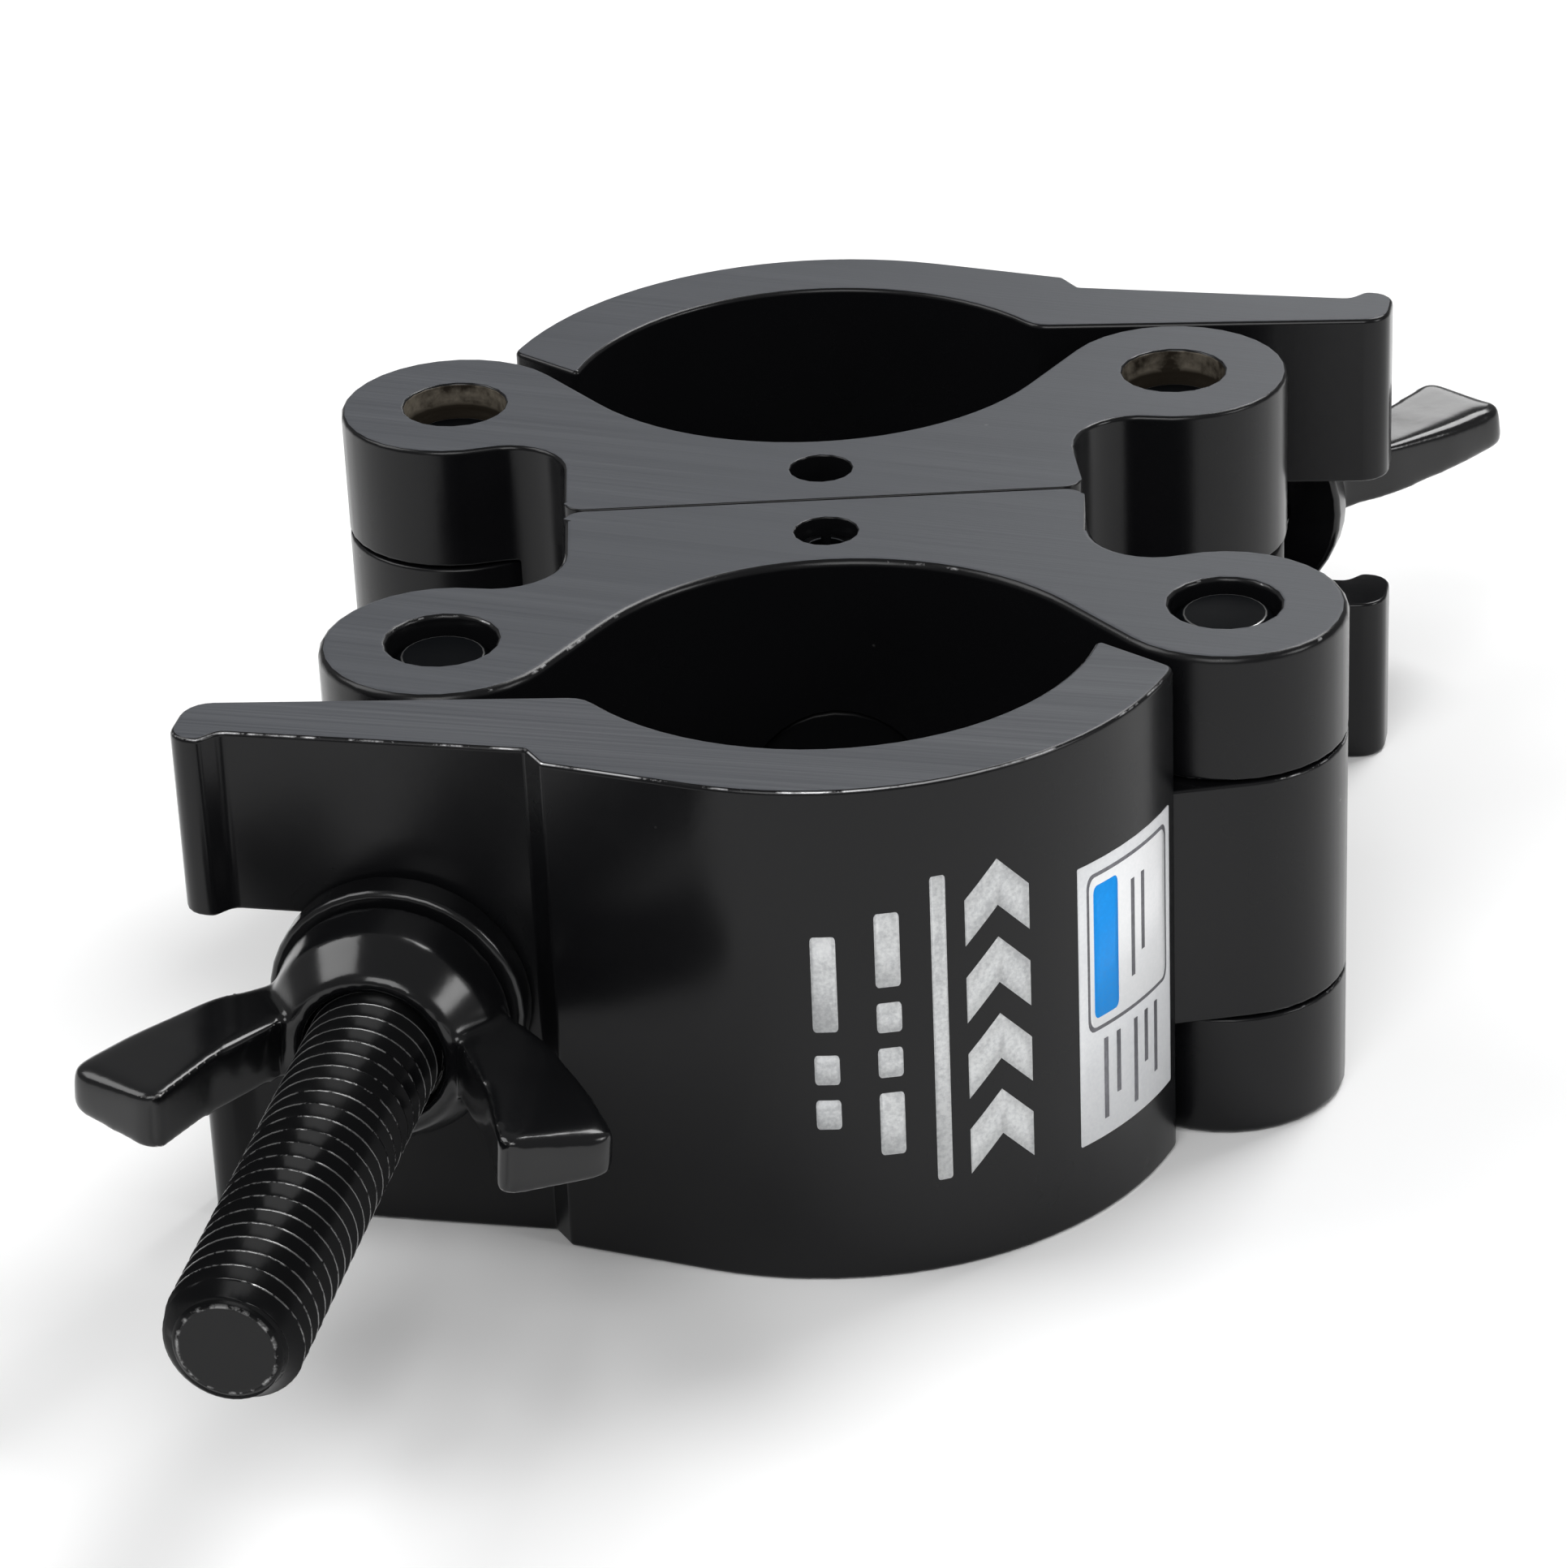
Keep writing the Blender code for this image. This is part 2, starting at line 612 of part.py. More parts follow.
def place(name, mesh, look, parent, matrix):
    """A piece of the coupler: its own object and finish, placed in its parent's frame."""
    piece = bpy.data.objects.new(name, mesh.copy())
    PARTS.objects.link(piece)
    piece.parent = parent
    piece.matrix_local = matrix
    piece.data.materials.clear()
    piece.data.materials.append(material(name, look))
    piece.data.shade_smooth()
    piece.data.set_sharp_from_angle(angle=math.radians(28.0))
    return piece


def half_frame(name, turn):
    """Empty on the pivot's axis that carries one half."""
    frame = bpy.data.objects.new(name, None)
    frame.empty_display_size = 20 * MM
    PARTS.objects.link(frame)
    frame.matrix_local = shift(0.0, 0.0, MID) @ Matrix.Rotation(turn, 4, "Z")
    return frame


def place_half(prefix, frame, stock, bolt_angle, washer_seat, nut_roll, pin_sink):
    """Place the seven pieces of one half."""
    eye = shift(EYE.x, EYE.y, 0.0)
    hinge = shift(HINGE.x, HINGE.y, 0.0)
    bolt = eye @ bolt_frame(bolt_angle)
    roll = Matrix.Rotation(math.radians(nut_roll), 4, "Z")
    top = (WIDTH - PIN_LENGTH) / 2
    place(prefix + "_saddle", stock["saddle"], BLACK_ALUMINIUM, frame, Matrix.Identity(4))
    place(prefix + "_jaw", stock["jaw"], BLACK_ALUMINIUM, frame, hinge)
    place(prefix + "_hinge_pin", stock["pin"], BRIGHT_STEEL, frame, hinge @ shift(0.0, 0.0, top - pin_sink[0]))
    place(prefix + "_eye_pin", stock["pin"], BRIGHT_STEEL, frame, eye @ shift(0.0, 0.0, top - pin_sink[1]))
    place(prefix + "_eyebolt", stock[prefix + "_eyebolt"], BLACK_STEEL, frame, bolt)
    place(prefix + "_washer", stock["washer"], BLACK_STEEL, frame, bolt @ shift(0.0, 0.0, washer_seat))
    nut_seat = shift(0.0, 0.0, washer_seat + NUT_OFFSET)
    place(prefix + "_wing_nut", stock["wing_nut"], BLACK_STEEL, frame, bolt @ nut_seat @ roll)


def main():
    """Build the coupler."""
    stock = {
        "saddle": make_saddle(),
        "jaw": make_jaw(),
        "pin": make_pin(),
        "front_eyebolt": make_eyebolt(FRONT_BOLT_LENGTH),
        "rear_eyebolt": make_eyebolt(REAR_BOLT_LENGTH),
        "washer": make_washer(),
        "wing_nut": make_wing_nut(),
    }
    front = half_frame("front_half", 0.0)
    rear = half_frame("rear_half", math.pi)
    place_half("front", front, stock, CLAMP_ANGLE, FRONT_WASHER_SEAT, FRONT_NUT_ROLL, (1.0 * MM, 1.5 * MM))
    place_half("rear", rear, stock, REAR_BOLT_ANGLE, REAR_WASHER_SEAT, REAR_NUT_ROLL, (3.5 * MM, 3.5 * MM))
    place("pivot_screw", make_pivot_screw(), BLACK_STEEL, front, along_y())
    place("pivot_sleeve", make_pivot_sleeve(), BLACK_STEEL, front, Matrix.Rotation(math.pi, 4, "Z") @ along_y())
    pin_centre = MID - LOCK_PIN_TOP - LOCK_PIN_LENGTH / 2
    place("lock_pin", make_lock_pin(), BRIGHT_STEEL, front, shift(0.0, -CROSS_HOLE_Y, pin_centre))
    for obj in list(CUTTERS.objects):
        bpy.data.objects.remove(obj, do_unlink=True)


clear_scene()
PARTS = new_collection("scaffold_coupler")
CUTTERS = new_collection("cutters")
main()
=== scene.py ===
"""Looks of a swivel tube coupler: black extruded halves, painted bolts and wing nuts, on a pale floor."""

from __future__ import annotations

import json
import logging
import math
from dataclasses import dataclass, field, replace
from enum import Enum
from typing import Any, Callable, Iterable

import bmesh
import bpy
from mathutils import Matrix, Vector

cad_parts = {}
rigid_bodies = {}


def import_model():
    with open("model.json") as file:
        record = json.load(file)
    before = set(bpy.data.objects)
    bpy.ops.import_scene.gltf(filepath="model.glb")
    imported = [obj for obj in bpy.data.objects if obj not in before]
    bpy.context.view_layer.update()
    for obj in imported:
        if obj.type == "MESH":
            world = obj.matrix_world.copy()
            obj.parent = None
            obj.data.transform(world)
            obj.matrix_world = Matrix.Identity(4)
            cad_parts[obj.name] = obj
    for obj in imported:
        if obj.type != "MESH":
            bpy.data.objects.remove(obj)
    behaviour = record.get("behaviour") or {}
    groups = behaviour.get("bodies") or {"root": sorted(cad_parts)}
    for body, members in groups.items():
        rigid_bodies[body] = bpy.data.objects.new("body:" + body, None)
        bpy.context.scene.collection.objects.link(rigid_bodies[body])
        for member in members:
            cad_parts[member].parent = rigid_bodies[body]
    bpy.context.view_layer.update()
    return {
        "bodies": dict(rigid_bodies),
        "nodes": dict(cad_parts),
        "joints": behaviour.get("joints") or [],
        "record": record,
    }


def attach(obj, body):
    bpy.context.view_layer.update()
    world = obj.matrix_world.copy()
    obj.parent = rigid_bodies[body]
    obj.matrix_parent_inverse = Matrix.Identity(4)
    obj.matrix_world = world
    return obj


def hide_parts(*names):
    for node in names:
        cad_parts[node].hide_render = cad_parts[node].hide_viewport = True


LOG = logging.getLogger("coupler")
MM = 0.001
Triple = tuple[float, float, float]
RGB = Triple

# Sizes shared with the solids, in metres
WIDTH = 50.0 * MM
MID = WIDTH / 2
PIN_X = 35.7 * MM
PIN_Y = 26.1 * MM
PIN_HOLE_R = 5.1 * MM
BORE_R = 25.5 * MM
BORE_DEPTH = 39.0 * MM
BORE_CUTS = [z * MM for z in (14.8, 16.4, 18.8, 20.4, 22.0, 23.6, 25.0, 26.4, 28.0, 29.6, 31.2, 33.6, 35.2)]
JAW_AXIS = Vector((-1.0 * MM, -25.2 * MM))
JAW_OUTER_R = 33.7 * MM

TOUCH = 0.01 * MM  # how near a point counts as on a face
WELD = 0.002 * MM
SHARP = math.radians(32.0)
DUST = (0.35, 0.35, 0.34)

WEAR = "wear"
SAWN = "sawn"


class Half(Enum):
    """The two halves of the coupler."""

    FRONT = "front"
    REAR = "rear"

    @property
    def turn(self) -> float:
        """Turn of the half about the upright axis, in radians."""
        return 0.0 if self is Half.FRONT else math.pi


class Sheet:
    """A node tree with short calls for the nodes that the finishes use."""

    def __init__(self, tree: bpy.types.NodeTree) -> None:
        """Keep the tree that is being filled."""
        self.tree = tree

    def add(self, kind: str, **settings: Any) -> bpy.types.Node:
        """Add a node.

        Args:
            kind: The node's type name.
            **settings: Properties set on the node.

        Returns:
            The new node.
        """
        node = self.tree.nodes.new(kind)
        node.location = (180.0 * (len(self.tree.nodes) % 12), -220.0 * (len(self.tree.nodes) // 12))
        for key, value in settings.items():
            setattr(node, key, value)
        return node

    def feed(self, value: Any, socket: bpy.types.NodeSocket) -> None:
        """Link a socket, or set a plain value, on an input.

        Args:
            value: A socket, a number or a colour.
            socket: The input that takes it.
        """
        if isinstance(value, bpy.types.NodeSocket):
            self.tree.links.new(value, socket)
        elif isinstance(value, tuple) and socket.type == "RGBA":
            socket.default_value = (*value, 1.0)
        else:
            socket.default_value = value

    def math(
        self, operation: str, first: Any, second: Any = 0.0, clamp: bool = False
    ) -> bpy.types.NodeSocket:
        """A Math node of two inputs.

        Args:
            operation: The node's operation.
            first: The first input.
            second: The second input.
            clamp: Whether the result is kept between 0 and 1.

        Returns:
            The result.
        """
        node = self.add("ShaderNodeMath", operation=operation, use_clamp=clamp)
        self.feed(first, node.inputs[0])
        self.feed(second, node.inputs[1])
        return node.outputs[0]

    def colour_mix(self, factor: Any, first: Any, second: Any) -> bpy.types.NodeSocket:
        """Blend two colours.

        Args:
            factor: Share of the second, from 0 to 1.
            first: The first input.
            second: The second input.

        Returns:
            The blend.
        """
        node = self.add("ShaderNodeMix", data_type="RGBA")
        self.feed(factor, node.inputs[0])
        self.feed(first, node.inputs[6])
        self.feed(second, node.inputs[7])
        return node.outputs[2]

    def value_mix(self, factor: Any, first: Any, second: Any) -> bpy.types.NodeSocket:
        """Blend two numbers.

        Args:
            factor: Share of the second, from 0 to 1.
            first: The first input.
            second: The second input.

        Returns:
            The blend.
        """
        node = self.add("ShaderNodeMix", data_type="FLOAT")
        self.feed(factor, node.inputs[0])
        self.feed(first, node.inputs[2])
        self.feed(second, node.inputs[3])
        return node.outputs[0]

    def span(
        self, value: Any, low: Any, high: Any, to_low: Any = 0.0, to_high: Any = 1.0
    ) -> bpy.types.NodeSocket:
        """Map a range of values onto another, clamped.

        Args:
            value: The value to map.
            low: Where the range starts.
            high: Where it ends.
            to_low: What the start becomes.
            to_high: What the end becomes.

        Returns:
            The mapped value.
        """
        node = self.add("ShaderNodeMapRange", clamp=True)
        for socket, number in zip(node.inputs, (value, low, high, to_low, to_high)):
            self.feed(number, socket)
        return node.outputs[0]

    def place(self, scale: Triple = (1.0, 1.0, 1.0)) -> bpy.types.NodeSocket:
        """Object coordinates, stretched.

        Args:
            scale: Stretch along each axis.

        Returns:
            The coordinates.
        """
        coords = self.add("ShaderNodeTexCoord")
        mapping = self.add("ShaderNodeMapping")
        mapping.inputs["Scale"].default_value = scale
        self.feed(coords.outputs["Object"], mapping.inputs["Vector"])
        return mapping.outputs["Vector"]

    def noise(
        self, vector: Any, scale: Any, detail: float = 3.0, rough: float = 0.55
    ) -> bpy.types.NodeSocket:
        """A noise pattern.

        Args:
            vector: The coordinates.
            scale: Its scale.
            detail: Its octaves.
            rough: Weight of the finer octaves.

        Returns:
            The pattern, from 0 to 1.
        """
        node = self.add("ShaderNodeTexNoise")
        self.feed(vector, node.inputs["Vector"])
        self.feed(scale, node.inputs["Scale"])
        node.inputs["Detail"].default_value = detail
        node.inputs["Roughness"].default_value = rough
        return node.outputs[0]

    def attribute(self, name: str) -> bpy.types.NodeSocket:
        """The number that a mesh carries under a name."""
        node = self.add("ShaderNodeAttribute", attribute_name=name)
        return node.outputs["Fac"]

    def group(self, tree: bpy.types.NodeTree, **inputs: Any) -> bpy.types.Node:
        """Place a node group.

        Args:
            tree: The group's tree.
            **inputs: Values by input name, with underscores for spaces.

        Returns:
            The group node.
        """
        node = self.add("ShaderNodeGroup", node_tree=tree)
        for key, value in inputs.items():
            self.feed(value, node.inputs[key.replace("_", " ")])
        return node

    def bump(self, height: Any, strength: float, distance: float) -> bpy.types.NodeSocket:
        """A normal from a height.

        Args:
            height: The height pattern.
            strength: How strongly it tilts the surface.
            distance: The height's size in metres.

        Returns:
            The normal.
        """
        node = self.add("ShaderNodeBump")
        node.inputs["Strength"].default_value = strength
        node.inputs["Distance"].default_value = distance
        self.feed(height, node.inputs["Height"])
        return node.outputs["Normal"]


class Effects:
    """The effects that several finishes share, each a shader node group."""

    def __init__(self) -> None:
        """Build the groups once."""
        self.edge_wear = self._edge_wear()
        self.saw_marks = self._saw_marks()
        self.draw_lines = self._draw_lines()
        self.paint_peel = self._paint_peel()
        self.dust = self._dust()

    @staticmethod
    def _start(name: str, inputs: dict[str, float], outputs: Iterable[str]) -> tuple[Sheet, Any, Any]:
        """Open a group with number inputs and outputs.

        Args:
            name: The group's name.
            inputs: Input names and their defaults.
            outputs: Output names.

        Returns:
            The sheet, the input node's sockets and the output node's sockets.
        """
        tree = bpy.data.node_groups.new(name, "ShaderNodeTree")
        for key, value in inputs.items():
            socket = tree.interface.new_socket(key, in_out="INPUT", socket_type="NodeSocketFloat")
            socket.default_value = value
        for key in outputs:
            tree.interface.new_socket(key, in_out="OUTPUT", socket_type="NodeSocketFloat")
        sheet = Sheet(tree)
        return sheet, sheet.add("NodeGroupInput").outputs, sheet.add("NodeGroupOutput").inputs

    def _edge_wear(self) -> bpy.types.NodeTree:
        """Paint rubbed off the edges: the mesh's edge mark, broken up by noise.

        Returns:
            The group.
        """
        sheet, given, out = self._start("edge_wear", {"Amount": 0.5, "Scale": 300.0}, ["Mask"])
        edge = sheet.span(sheet.attribute(WEAR), 0.45, 0.95)
        fine = sheet.noise(sheet.place(), given["Scale"], 4.0, 0.65)
        broad = sheet.noise(sheet.place(), 55.0, 2.0)
        mixed = sheet.math("ADD", sheet.math("MULTIPLY", fine, 0.55), sheet.math("MULTIPLY", broad, 0.45))
        floor = sheet.math("SUBTRACT", 0.78, sheet.math("MULTIPLY", given["Amount"], 0.5))
        rubbed = sheet.span(mixed, floor, sheet.math("ADD", floor, 0.07))
        sheet.feed(sheet.math("MULTIPLY", rubbed, edge, clamp=True), out["Mask"])
        return sheet.tree

    def _saw_marks(self) -> bpy.types.NodeTree:
        """Fine slanting marks of the saw and the brush on the cut ends.

        Returns:
            The group.
        """
        sheet, given, out = self._start("saw_marks", {"Turn": 0.35}, ["Height", "Tone"])
        coords = sheet.add("ShaderNodeTexCoord")
        turn = sheet.add("ShaderNodeVectorRotate", rotation_type="Z_AXIS")
        sheet.feed(coords.outputs["Object"], turn.inputs["Vector"])
        sheet.feed(given["Turn"], turn.inputs["Angle"])
        stretch = sheet.add("ShaderNodeVectorMath", operation="MULTIPLY")
        stretch.inputs[1].default_value = (16.0, 3000.0, 40.0)
        sheet.feed(turn.outputs[0], stretch.inputs[0])
        lines = sheet.noise(stretch.outputs[0], 1.0, 4.0, 0.6)
        wide = sheet.add("ShaderNodeVectorMath", operation="MULTIPLY")
        wide.inputs[1].default_value = (9.0, 420.0, 40.0)
        sheet.feed(turn.outputs[0], wide.inputs[0])
        bands = sheet.noise(wide.outputs[0], 1.0, 2.0, 0.5)
        sheet.feed(sheet.math("ADD", lines, sheet.math("MULTIPLY", bands, 0.4)), out["Height"])
        tone = sheet.math("ADD", sheet.math("MULTIPLY", lines, 0.7), sheet.math("MULTIPLY", bands, 0.3))
        sheet.feed(sheet.span(tone, 0.30, 0.74), out["Tone"])
        return sheet.tree

    def _draw_lines(self) -> bpy.types.NodeTree:
        """Faint lines along the extrusion, left by the die.

        Returns:
            The group.
        """
        sheet, given, out = self._start("draw_lines", {"Scale": 420.0}, ["Height"])
        lines = sheet.noise(sheet.place((1.0, 1.0, 0.012)), given["Scale"], 3.0, 0.6)
        sheet.feed(lines, out["Height"])
        return sheet.tree

    def _paint_peel(self) -> bpy.types.NodeTree:
        """Soft ripple of sprayed paint, and small clean and dull places.

        Returns:
            The group.
        """
        sheet, given, out = self._start("paint_peel", {"Scale": 900.0}, ["Height", "Cloud"])
        sheet.feed(sheet.noise(sheet.place(), given["Scale"], 2.0, 0.5), out["Height"])
        cloud = sheet.noise(sheet.place(), 45.0, 4.0, 0.6)
        sheet.feed(sheet.span(cloud, 0.35, 0.7), out["Cloud"])
        return sheet.tree

    def _dust(self) -> bpy.types.NodeTree:
        """A few pale specks of dust.

        Returns:
            The group.
        """
        sheet, given, out = self._start("dust", {"Scale": 260.0, "Size": 0.09}, ["Mask"])
        cells = sheet.add("ShaderNodeTexVoronoi", feature="F1")
        sheet.feed(sheet.place(), cells.inputs["Vector"])
        sheet.feed(given["Scale"], cells.inputs["Scale"])
        near = sheet.span(cells.outputs["Distance"], 0.0, given["Size"], 1.0, 0.0)
        pick = sheet.add("ShaderNodeSeparateColor")
        sheet.feed(cells.outputs["Color"], pick.inputs[0])
        rare = sheet.math("GREATER_THAN", pick.outputs[0], 0.93)
        sheet.feed(sheet.math("MULTIPLY", near, rare), out["Mask"])
        return sheet.tree


def new_material(name: str) -> tuple[bpy.types.Material, Sheet, bpy.types.Node]:
    """Start a material.

    Args:
        name: The material's name.

    Returns:
        The material, its node sheet and its Principled shader.
    """
    material = bpy.data.materials.new(name)
    material.use_nodes = True
    shader = material.node_tree.nodes["Principled BSDF"]
    return material, Sheet(material.node_tree), shader


@dataclass(frozen=True)
class CoatedExtrusion:
    """Black coat on extruded aluminium: smooth drawn sides and sawn, brushed ends."""

    name: str
    coat: RGB = (0.0045, 0.0046, 0.0052)
    sawn: RGB = (0.050, 0.053, 0.060)
    sawn_light: RGB = (0.078, 0.082, 0.090)
    bare: RGB = (0.60, 0.60, 0.61)
    saw_turn: float = 0.35
    wear: float = 0.45

    def material(self, fx: Effects) -> bpy.types.Material:
        """Build the finish.

        Args:
            fx: The shared effects.

        Returns:
            The material.
        """
        material, sheet, shader = new_material(self.name)
        end = sheet.attribute(SAWN)
        wear = sheet.group(fx.edge_wear, Amount=self.wear, Scale=420.0).outputs["Mask"]
        saw = sheet.group(fx.saw_marks, Turn=self.saw_turn)
        draw = sheet.group(fx.draw_lines, Scale=420.0).outputs["Height"]
        peel = sheet.group(fx.paint_peel, Scale=1100.0)
        dust = sheet.group(fx.dust, Scale=240.0, Size=0.07).outputs["Mask"]
        ends = sheet.colour_mix(saw.outputs["Tone"], self.sawn, self.sawn_light)
        base = sheet.colour_mix(end, self.coat, ends)
        base = sheet.colour_mix(sheet.math("MULTIPLY", dust, 0.35), base, DUST)
        sheet.feed(sheet.colour_mix(wear, base, self.bare), shader.inputs["Base Color"])
        side_rough = sheet.span(peel.outputs["Cloud"], 0.0, 1.0, 0.20, 0.30)
        end_rough = sheet.span(saw.outputs["Tone"], 0.0, 1.0, 0.40, 0.52)
        rough = sheet.value_mix(end, side_rough, end_rough)
        sheet.feed(sheet.value_mix(wear, rough, 0.30), shader.inputs["Roughness"])
        sheet.feed(wear, shader.inputs["Metallic"])
        side_height = sheet.math("ADD", sheet.math("MULTIPLY", draw, 0.6), peel.outputs["Height"])
        height = sheet.value_mix(end, sheet.math("MULTIPLY", side_height, 0.35), saw.outputs["Height"])
        sheet.feed(sheet.bump(height, 0.35, 0.00004), shader.inputs["Normal"])
        shader.inputs["IOR"].default_value = 1.45
        shader.inputs["Specular IOR Level"].default_value = 0.30
        return material


@dataclass(frozen=True)
class GlossPaint:
    """Gloss black paint on steel, rubbed through at the edges and crests."""

    name: str
    paint: RGB = (0.0040, 0.0041, 0.0046)
    bare: RGB = (0.62, 0.61, 0.60)
    roughness: tuple[float, float] = (0.13, 0.26)
    wear: float = 0.5
    wear_scale: float = 520.0
    gloss: float = 0.43

    def material(self, fx: Effects) -> bpy.types.Material:
        """Build the finish.

        Args:
            fx: The shared effects.

        Returns:
            The material.
        """
        material, sheet, shader = new_material(self.name)
        wear = sheet.group(fx.edge_wear, Amount=self.wear, Scale=self.wear_scale).outputs["Mask"]
        peel = sheet.group(fx.paint_peel, Scale=700.0)
        dust = sheet.group(fx.dust, Scale=300.0, Size=0.08).outputs["Mask"]
        base = sheet.colour_mix(sheet.math("MULTIPLY", dust, 0.3), self.paint, DUST)
        sheet.feed(sheet.colour_mix(wear, base, self.bare), shader.inputs["Base Color"])
        rough = sheet.span(peel.outputs["Cloud"], 0.0, 1.0, *self.roughness)
        sheet.feed(sheet.value_mix(wear, rough, 0.28), shader.inputs["Roughness"])
        sheet.feed(wear, shader.inputs["Metallic"])
        sheet.feed(sheet.bump(peel.outputs["Height"], 0.22, 0.00005), shader.inputs["Normal"])
        shader.inputs["IOR"].default_value = 1.5
        shader.inputs["Specular IOR Level"].default_value = self.gloss
        return material


@dataclass(frozen=True)
class WornSteel:
    """Plain steel with turning marks and a brown or dark film; on a bored wall the film colour also paints
    shade deeper in the hole.
    """

    name: str
    clean: RGB
    film_and_shade: RGB
    metallic: float = 1.0
    roughness: tuple[float, float] = (0.30, 0.5)
    film_amount: float = 0.5
    # Depth of the bare band at the rim; below it the wall is painted darker, partly oily film and partly
    # painted shade in the hole.
    painted_shade_depth: float = 0.0

    def material(self, fx: Effects) -> bpy.types.Material:
        """Build the finish.

        Args:
            fx: The shared effects.

        Returns:
            The material.
        """
        material, sheet, shader = new_material(self.name)
        peel = sheet.group(fx.paint_peel, Scale=500.0)
        lines = sheet.noise(sheet.place((60.0, 60.0, 2400.0)), 1.0, 3.0, 0.6)
        wear = sheet.group(fx.edge_wear, Amount=0.8, Scale=400.0).outputs["Mask"]
        patch = sheet.noise(sheet.place(), 330.0, 4.0, 0.6)
        cloud = sheet.math("MULTIPLY", peel.outputs["Cloud"], 0.3)
        stain = sheet.math("ADD", cloud, sheet.span(patch, 0.38, 0.62))
        film_and_shade = sheet.math("MULTIPLY", stain, 2 * self.film_amount, True)
        # Painted shade: some way below the end faces the wall turns to the film colour, partly oily film and
        # partly painted shade deep in the hole.
        if self.painted_shade_depth > 0.0:
            place = sheet.add("ShaderNodeSeparateXYZ")
            sheet.feed(sheet.place(), place.inputs[0])
            height = sheet.math("ABSOLUTE", sheet.math("SUBTRACT", place.outputs["Z"], MID))
            rim = MID - self.painted_shade_depth
            film_and_shade = sheet.math("MAXIMUM", film_and_shade, sheet.span(height, rim - 0.6 * MM, rim, 1.0, 0.0))
        base = sheet.colour_mix(film_and_shade, self.clean, self.film_and_shade)
        sheet.feed(sheet.colour_mix(wear, base, self.clean), shader.inputs["Base Color"])
        sheet.feed(sheet.span(lines, 0.3, 0.7, *self.roughness), shader.inputs["Roughness"])
        sheet.feed(sheet.bump(lines, 0.3, 0.00003), shader.inputs["Normal"])
        shader.inputs["Metallic"].default_value = self.metallic
        return material


@dataclass(frozen=True)
class Ink:
    """A thin printed or foil layer with a fine grain."""

    name: str
    colour: RGB
    grain: RGB
    metallic: float = 0.0
    roughness: float = 0.45

    def material(self, fx: Effects) -> bpy.types.Material:
        """Build the finish.

        Args:
            fx: The shared effects.

        Returns:
            The material.
        """
        material, sheet, shader = new_material(self.name)
        speck = sheet.noise(sheet.place(), 2600.0, 2.0, 0.6)
        cloud = sheet.group(fx.paint_peel, Scale=900.0).outputs["Cloud"]
        tone = sheet.math("ADD", sheet.math("MULTIPLY", speck, 0.75), sheet.math("MULTIPLY", cloud, 0.25))
        base = sheet.colour_mix(sheet.span(tone, 0.35, 0.65), self.grain, self.colour)
        sheet.feed(base, shader.inputs["Base Color"])
        spread = sheet.span(speck, 0.3, 0.7, self.roughness - 0.08, self.roughness + 0.08)
        sheet.feed(spread, shader.inputs["Roughness"])
        shader.inputs["Metallic"].default_value = self.metallic
        shader.inputs["Specular IOR Level"].default_value = 0.2
        return material


def node_copy(frame: dict[str, Any], node: str) -> bmesh.types.BMesh:
    """A welded copy of a solid, with its flat faces whole again.

    Args:
        frame: The loaded frame.
        node: The solid's name.

    Returns:
        A bmesh in the frame's coordinates.
    """
    mesh = bmesh.new()
    mesh.from_mesh(frame["nodes"][node].data)
    bmesh.ops.remove_doubles(mesh, verts=mesh.verts, dist=WELD)
    bmesh.ops.dissolve_limit(
        mesh, angle_limit=math.radians(0.6), use_dissolve_boundaries=False, verts=mesh.verts, edges=mesh.edges
    )
    return mesh


def break_edges(
    mesh: bmesh.types.BMesh, width: Callable[[bmesh.types.BMEdge], float], segments: int = 4
) -> None:
    """Round the sharp outward edges and mark the middle of each round as worn.

    Args:
        mesh: The mesh to change.
        width: Gives each sharp edge its width, or 0 to leave it.
        segments: Steps across a round, an even number.
    """
    mark = mesh.loops.layers.float.get(WEAR) or mesh.loops.layers.float.new(WEAR)
    sizes: dict[float, list[bmesh.types.BMEdge]] = {}
    for edge in mesh.edges:
        if len(edge.link_faces) == 2 and edge.is_convex and edge.calc_face_angle(0.0) > SHARP:
            sizes.setdefault(width(edge), []).append(edge)
    sizes.pop(0.0, None)
    rounds: set[bmesh.types.BMFace] = set()
    for size in sorted(sizes, reverse=True):
        made = bmesh.ops.bevel(
            mesh,
            geom=[e for e in sizes[size] if e.is_valid],
            offset=size,
            offset_type="OFFSET",
            segments=segments,
            profile=0.5,
            affect="EDGES",
            clamp_overlap=False,
            material=-1,
        )
        rounds.update(made["faces"])
    rounds = {face for face in rounds if face.is_valid}
    inside = {v for face in rounds for v in face.verts if all(f in rounds for f in v.link_faces)}
    middle = inside
    if segments > 2:
        middle = {v for v in inside if all(e.other_vert(v) in inside for e in v.link_edges)}
    for face in rounds:
        for loop in face.loops:
            loop[mark] = 1.0 if loop.vert in middle else 0.0


def on_ends(edge: bmesh.types.BMEdge) -> bool:
    """Whether an edge lies in one of the sawn ends."""
    return all(abs(v.co.z - MID) > MID - TOUCH for v in edge.verts)


def is_level(edge: bmesh.types.BMEdge) -> bool:
    """Whether both ends of an edge are at one height."""
    return abs(edge.verts[0].co.z - edge.verts[1].co.z) < TOUCH


def mark_faces(mesh: bmesh.types.BMesh, name: str, chosen: Callable[[bmesh.types.BMFace], bool]) -> None:
    """Give chosen faces a mark of 1 under a name.

    Args:
        mesh: The mesh to mark.
        name: The mark's name.
        chosen: Says which faces take it.
    """
    layer = mesh.loops.layers.float.get(name) or mesh.loops.layers.float.new(name)
    for face in mesh.faces:
        if chosen(face):
            for loop in face.loops:
                loop[layer] = 1.0


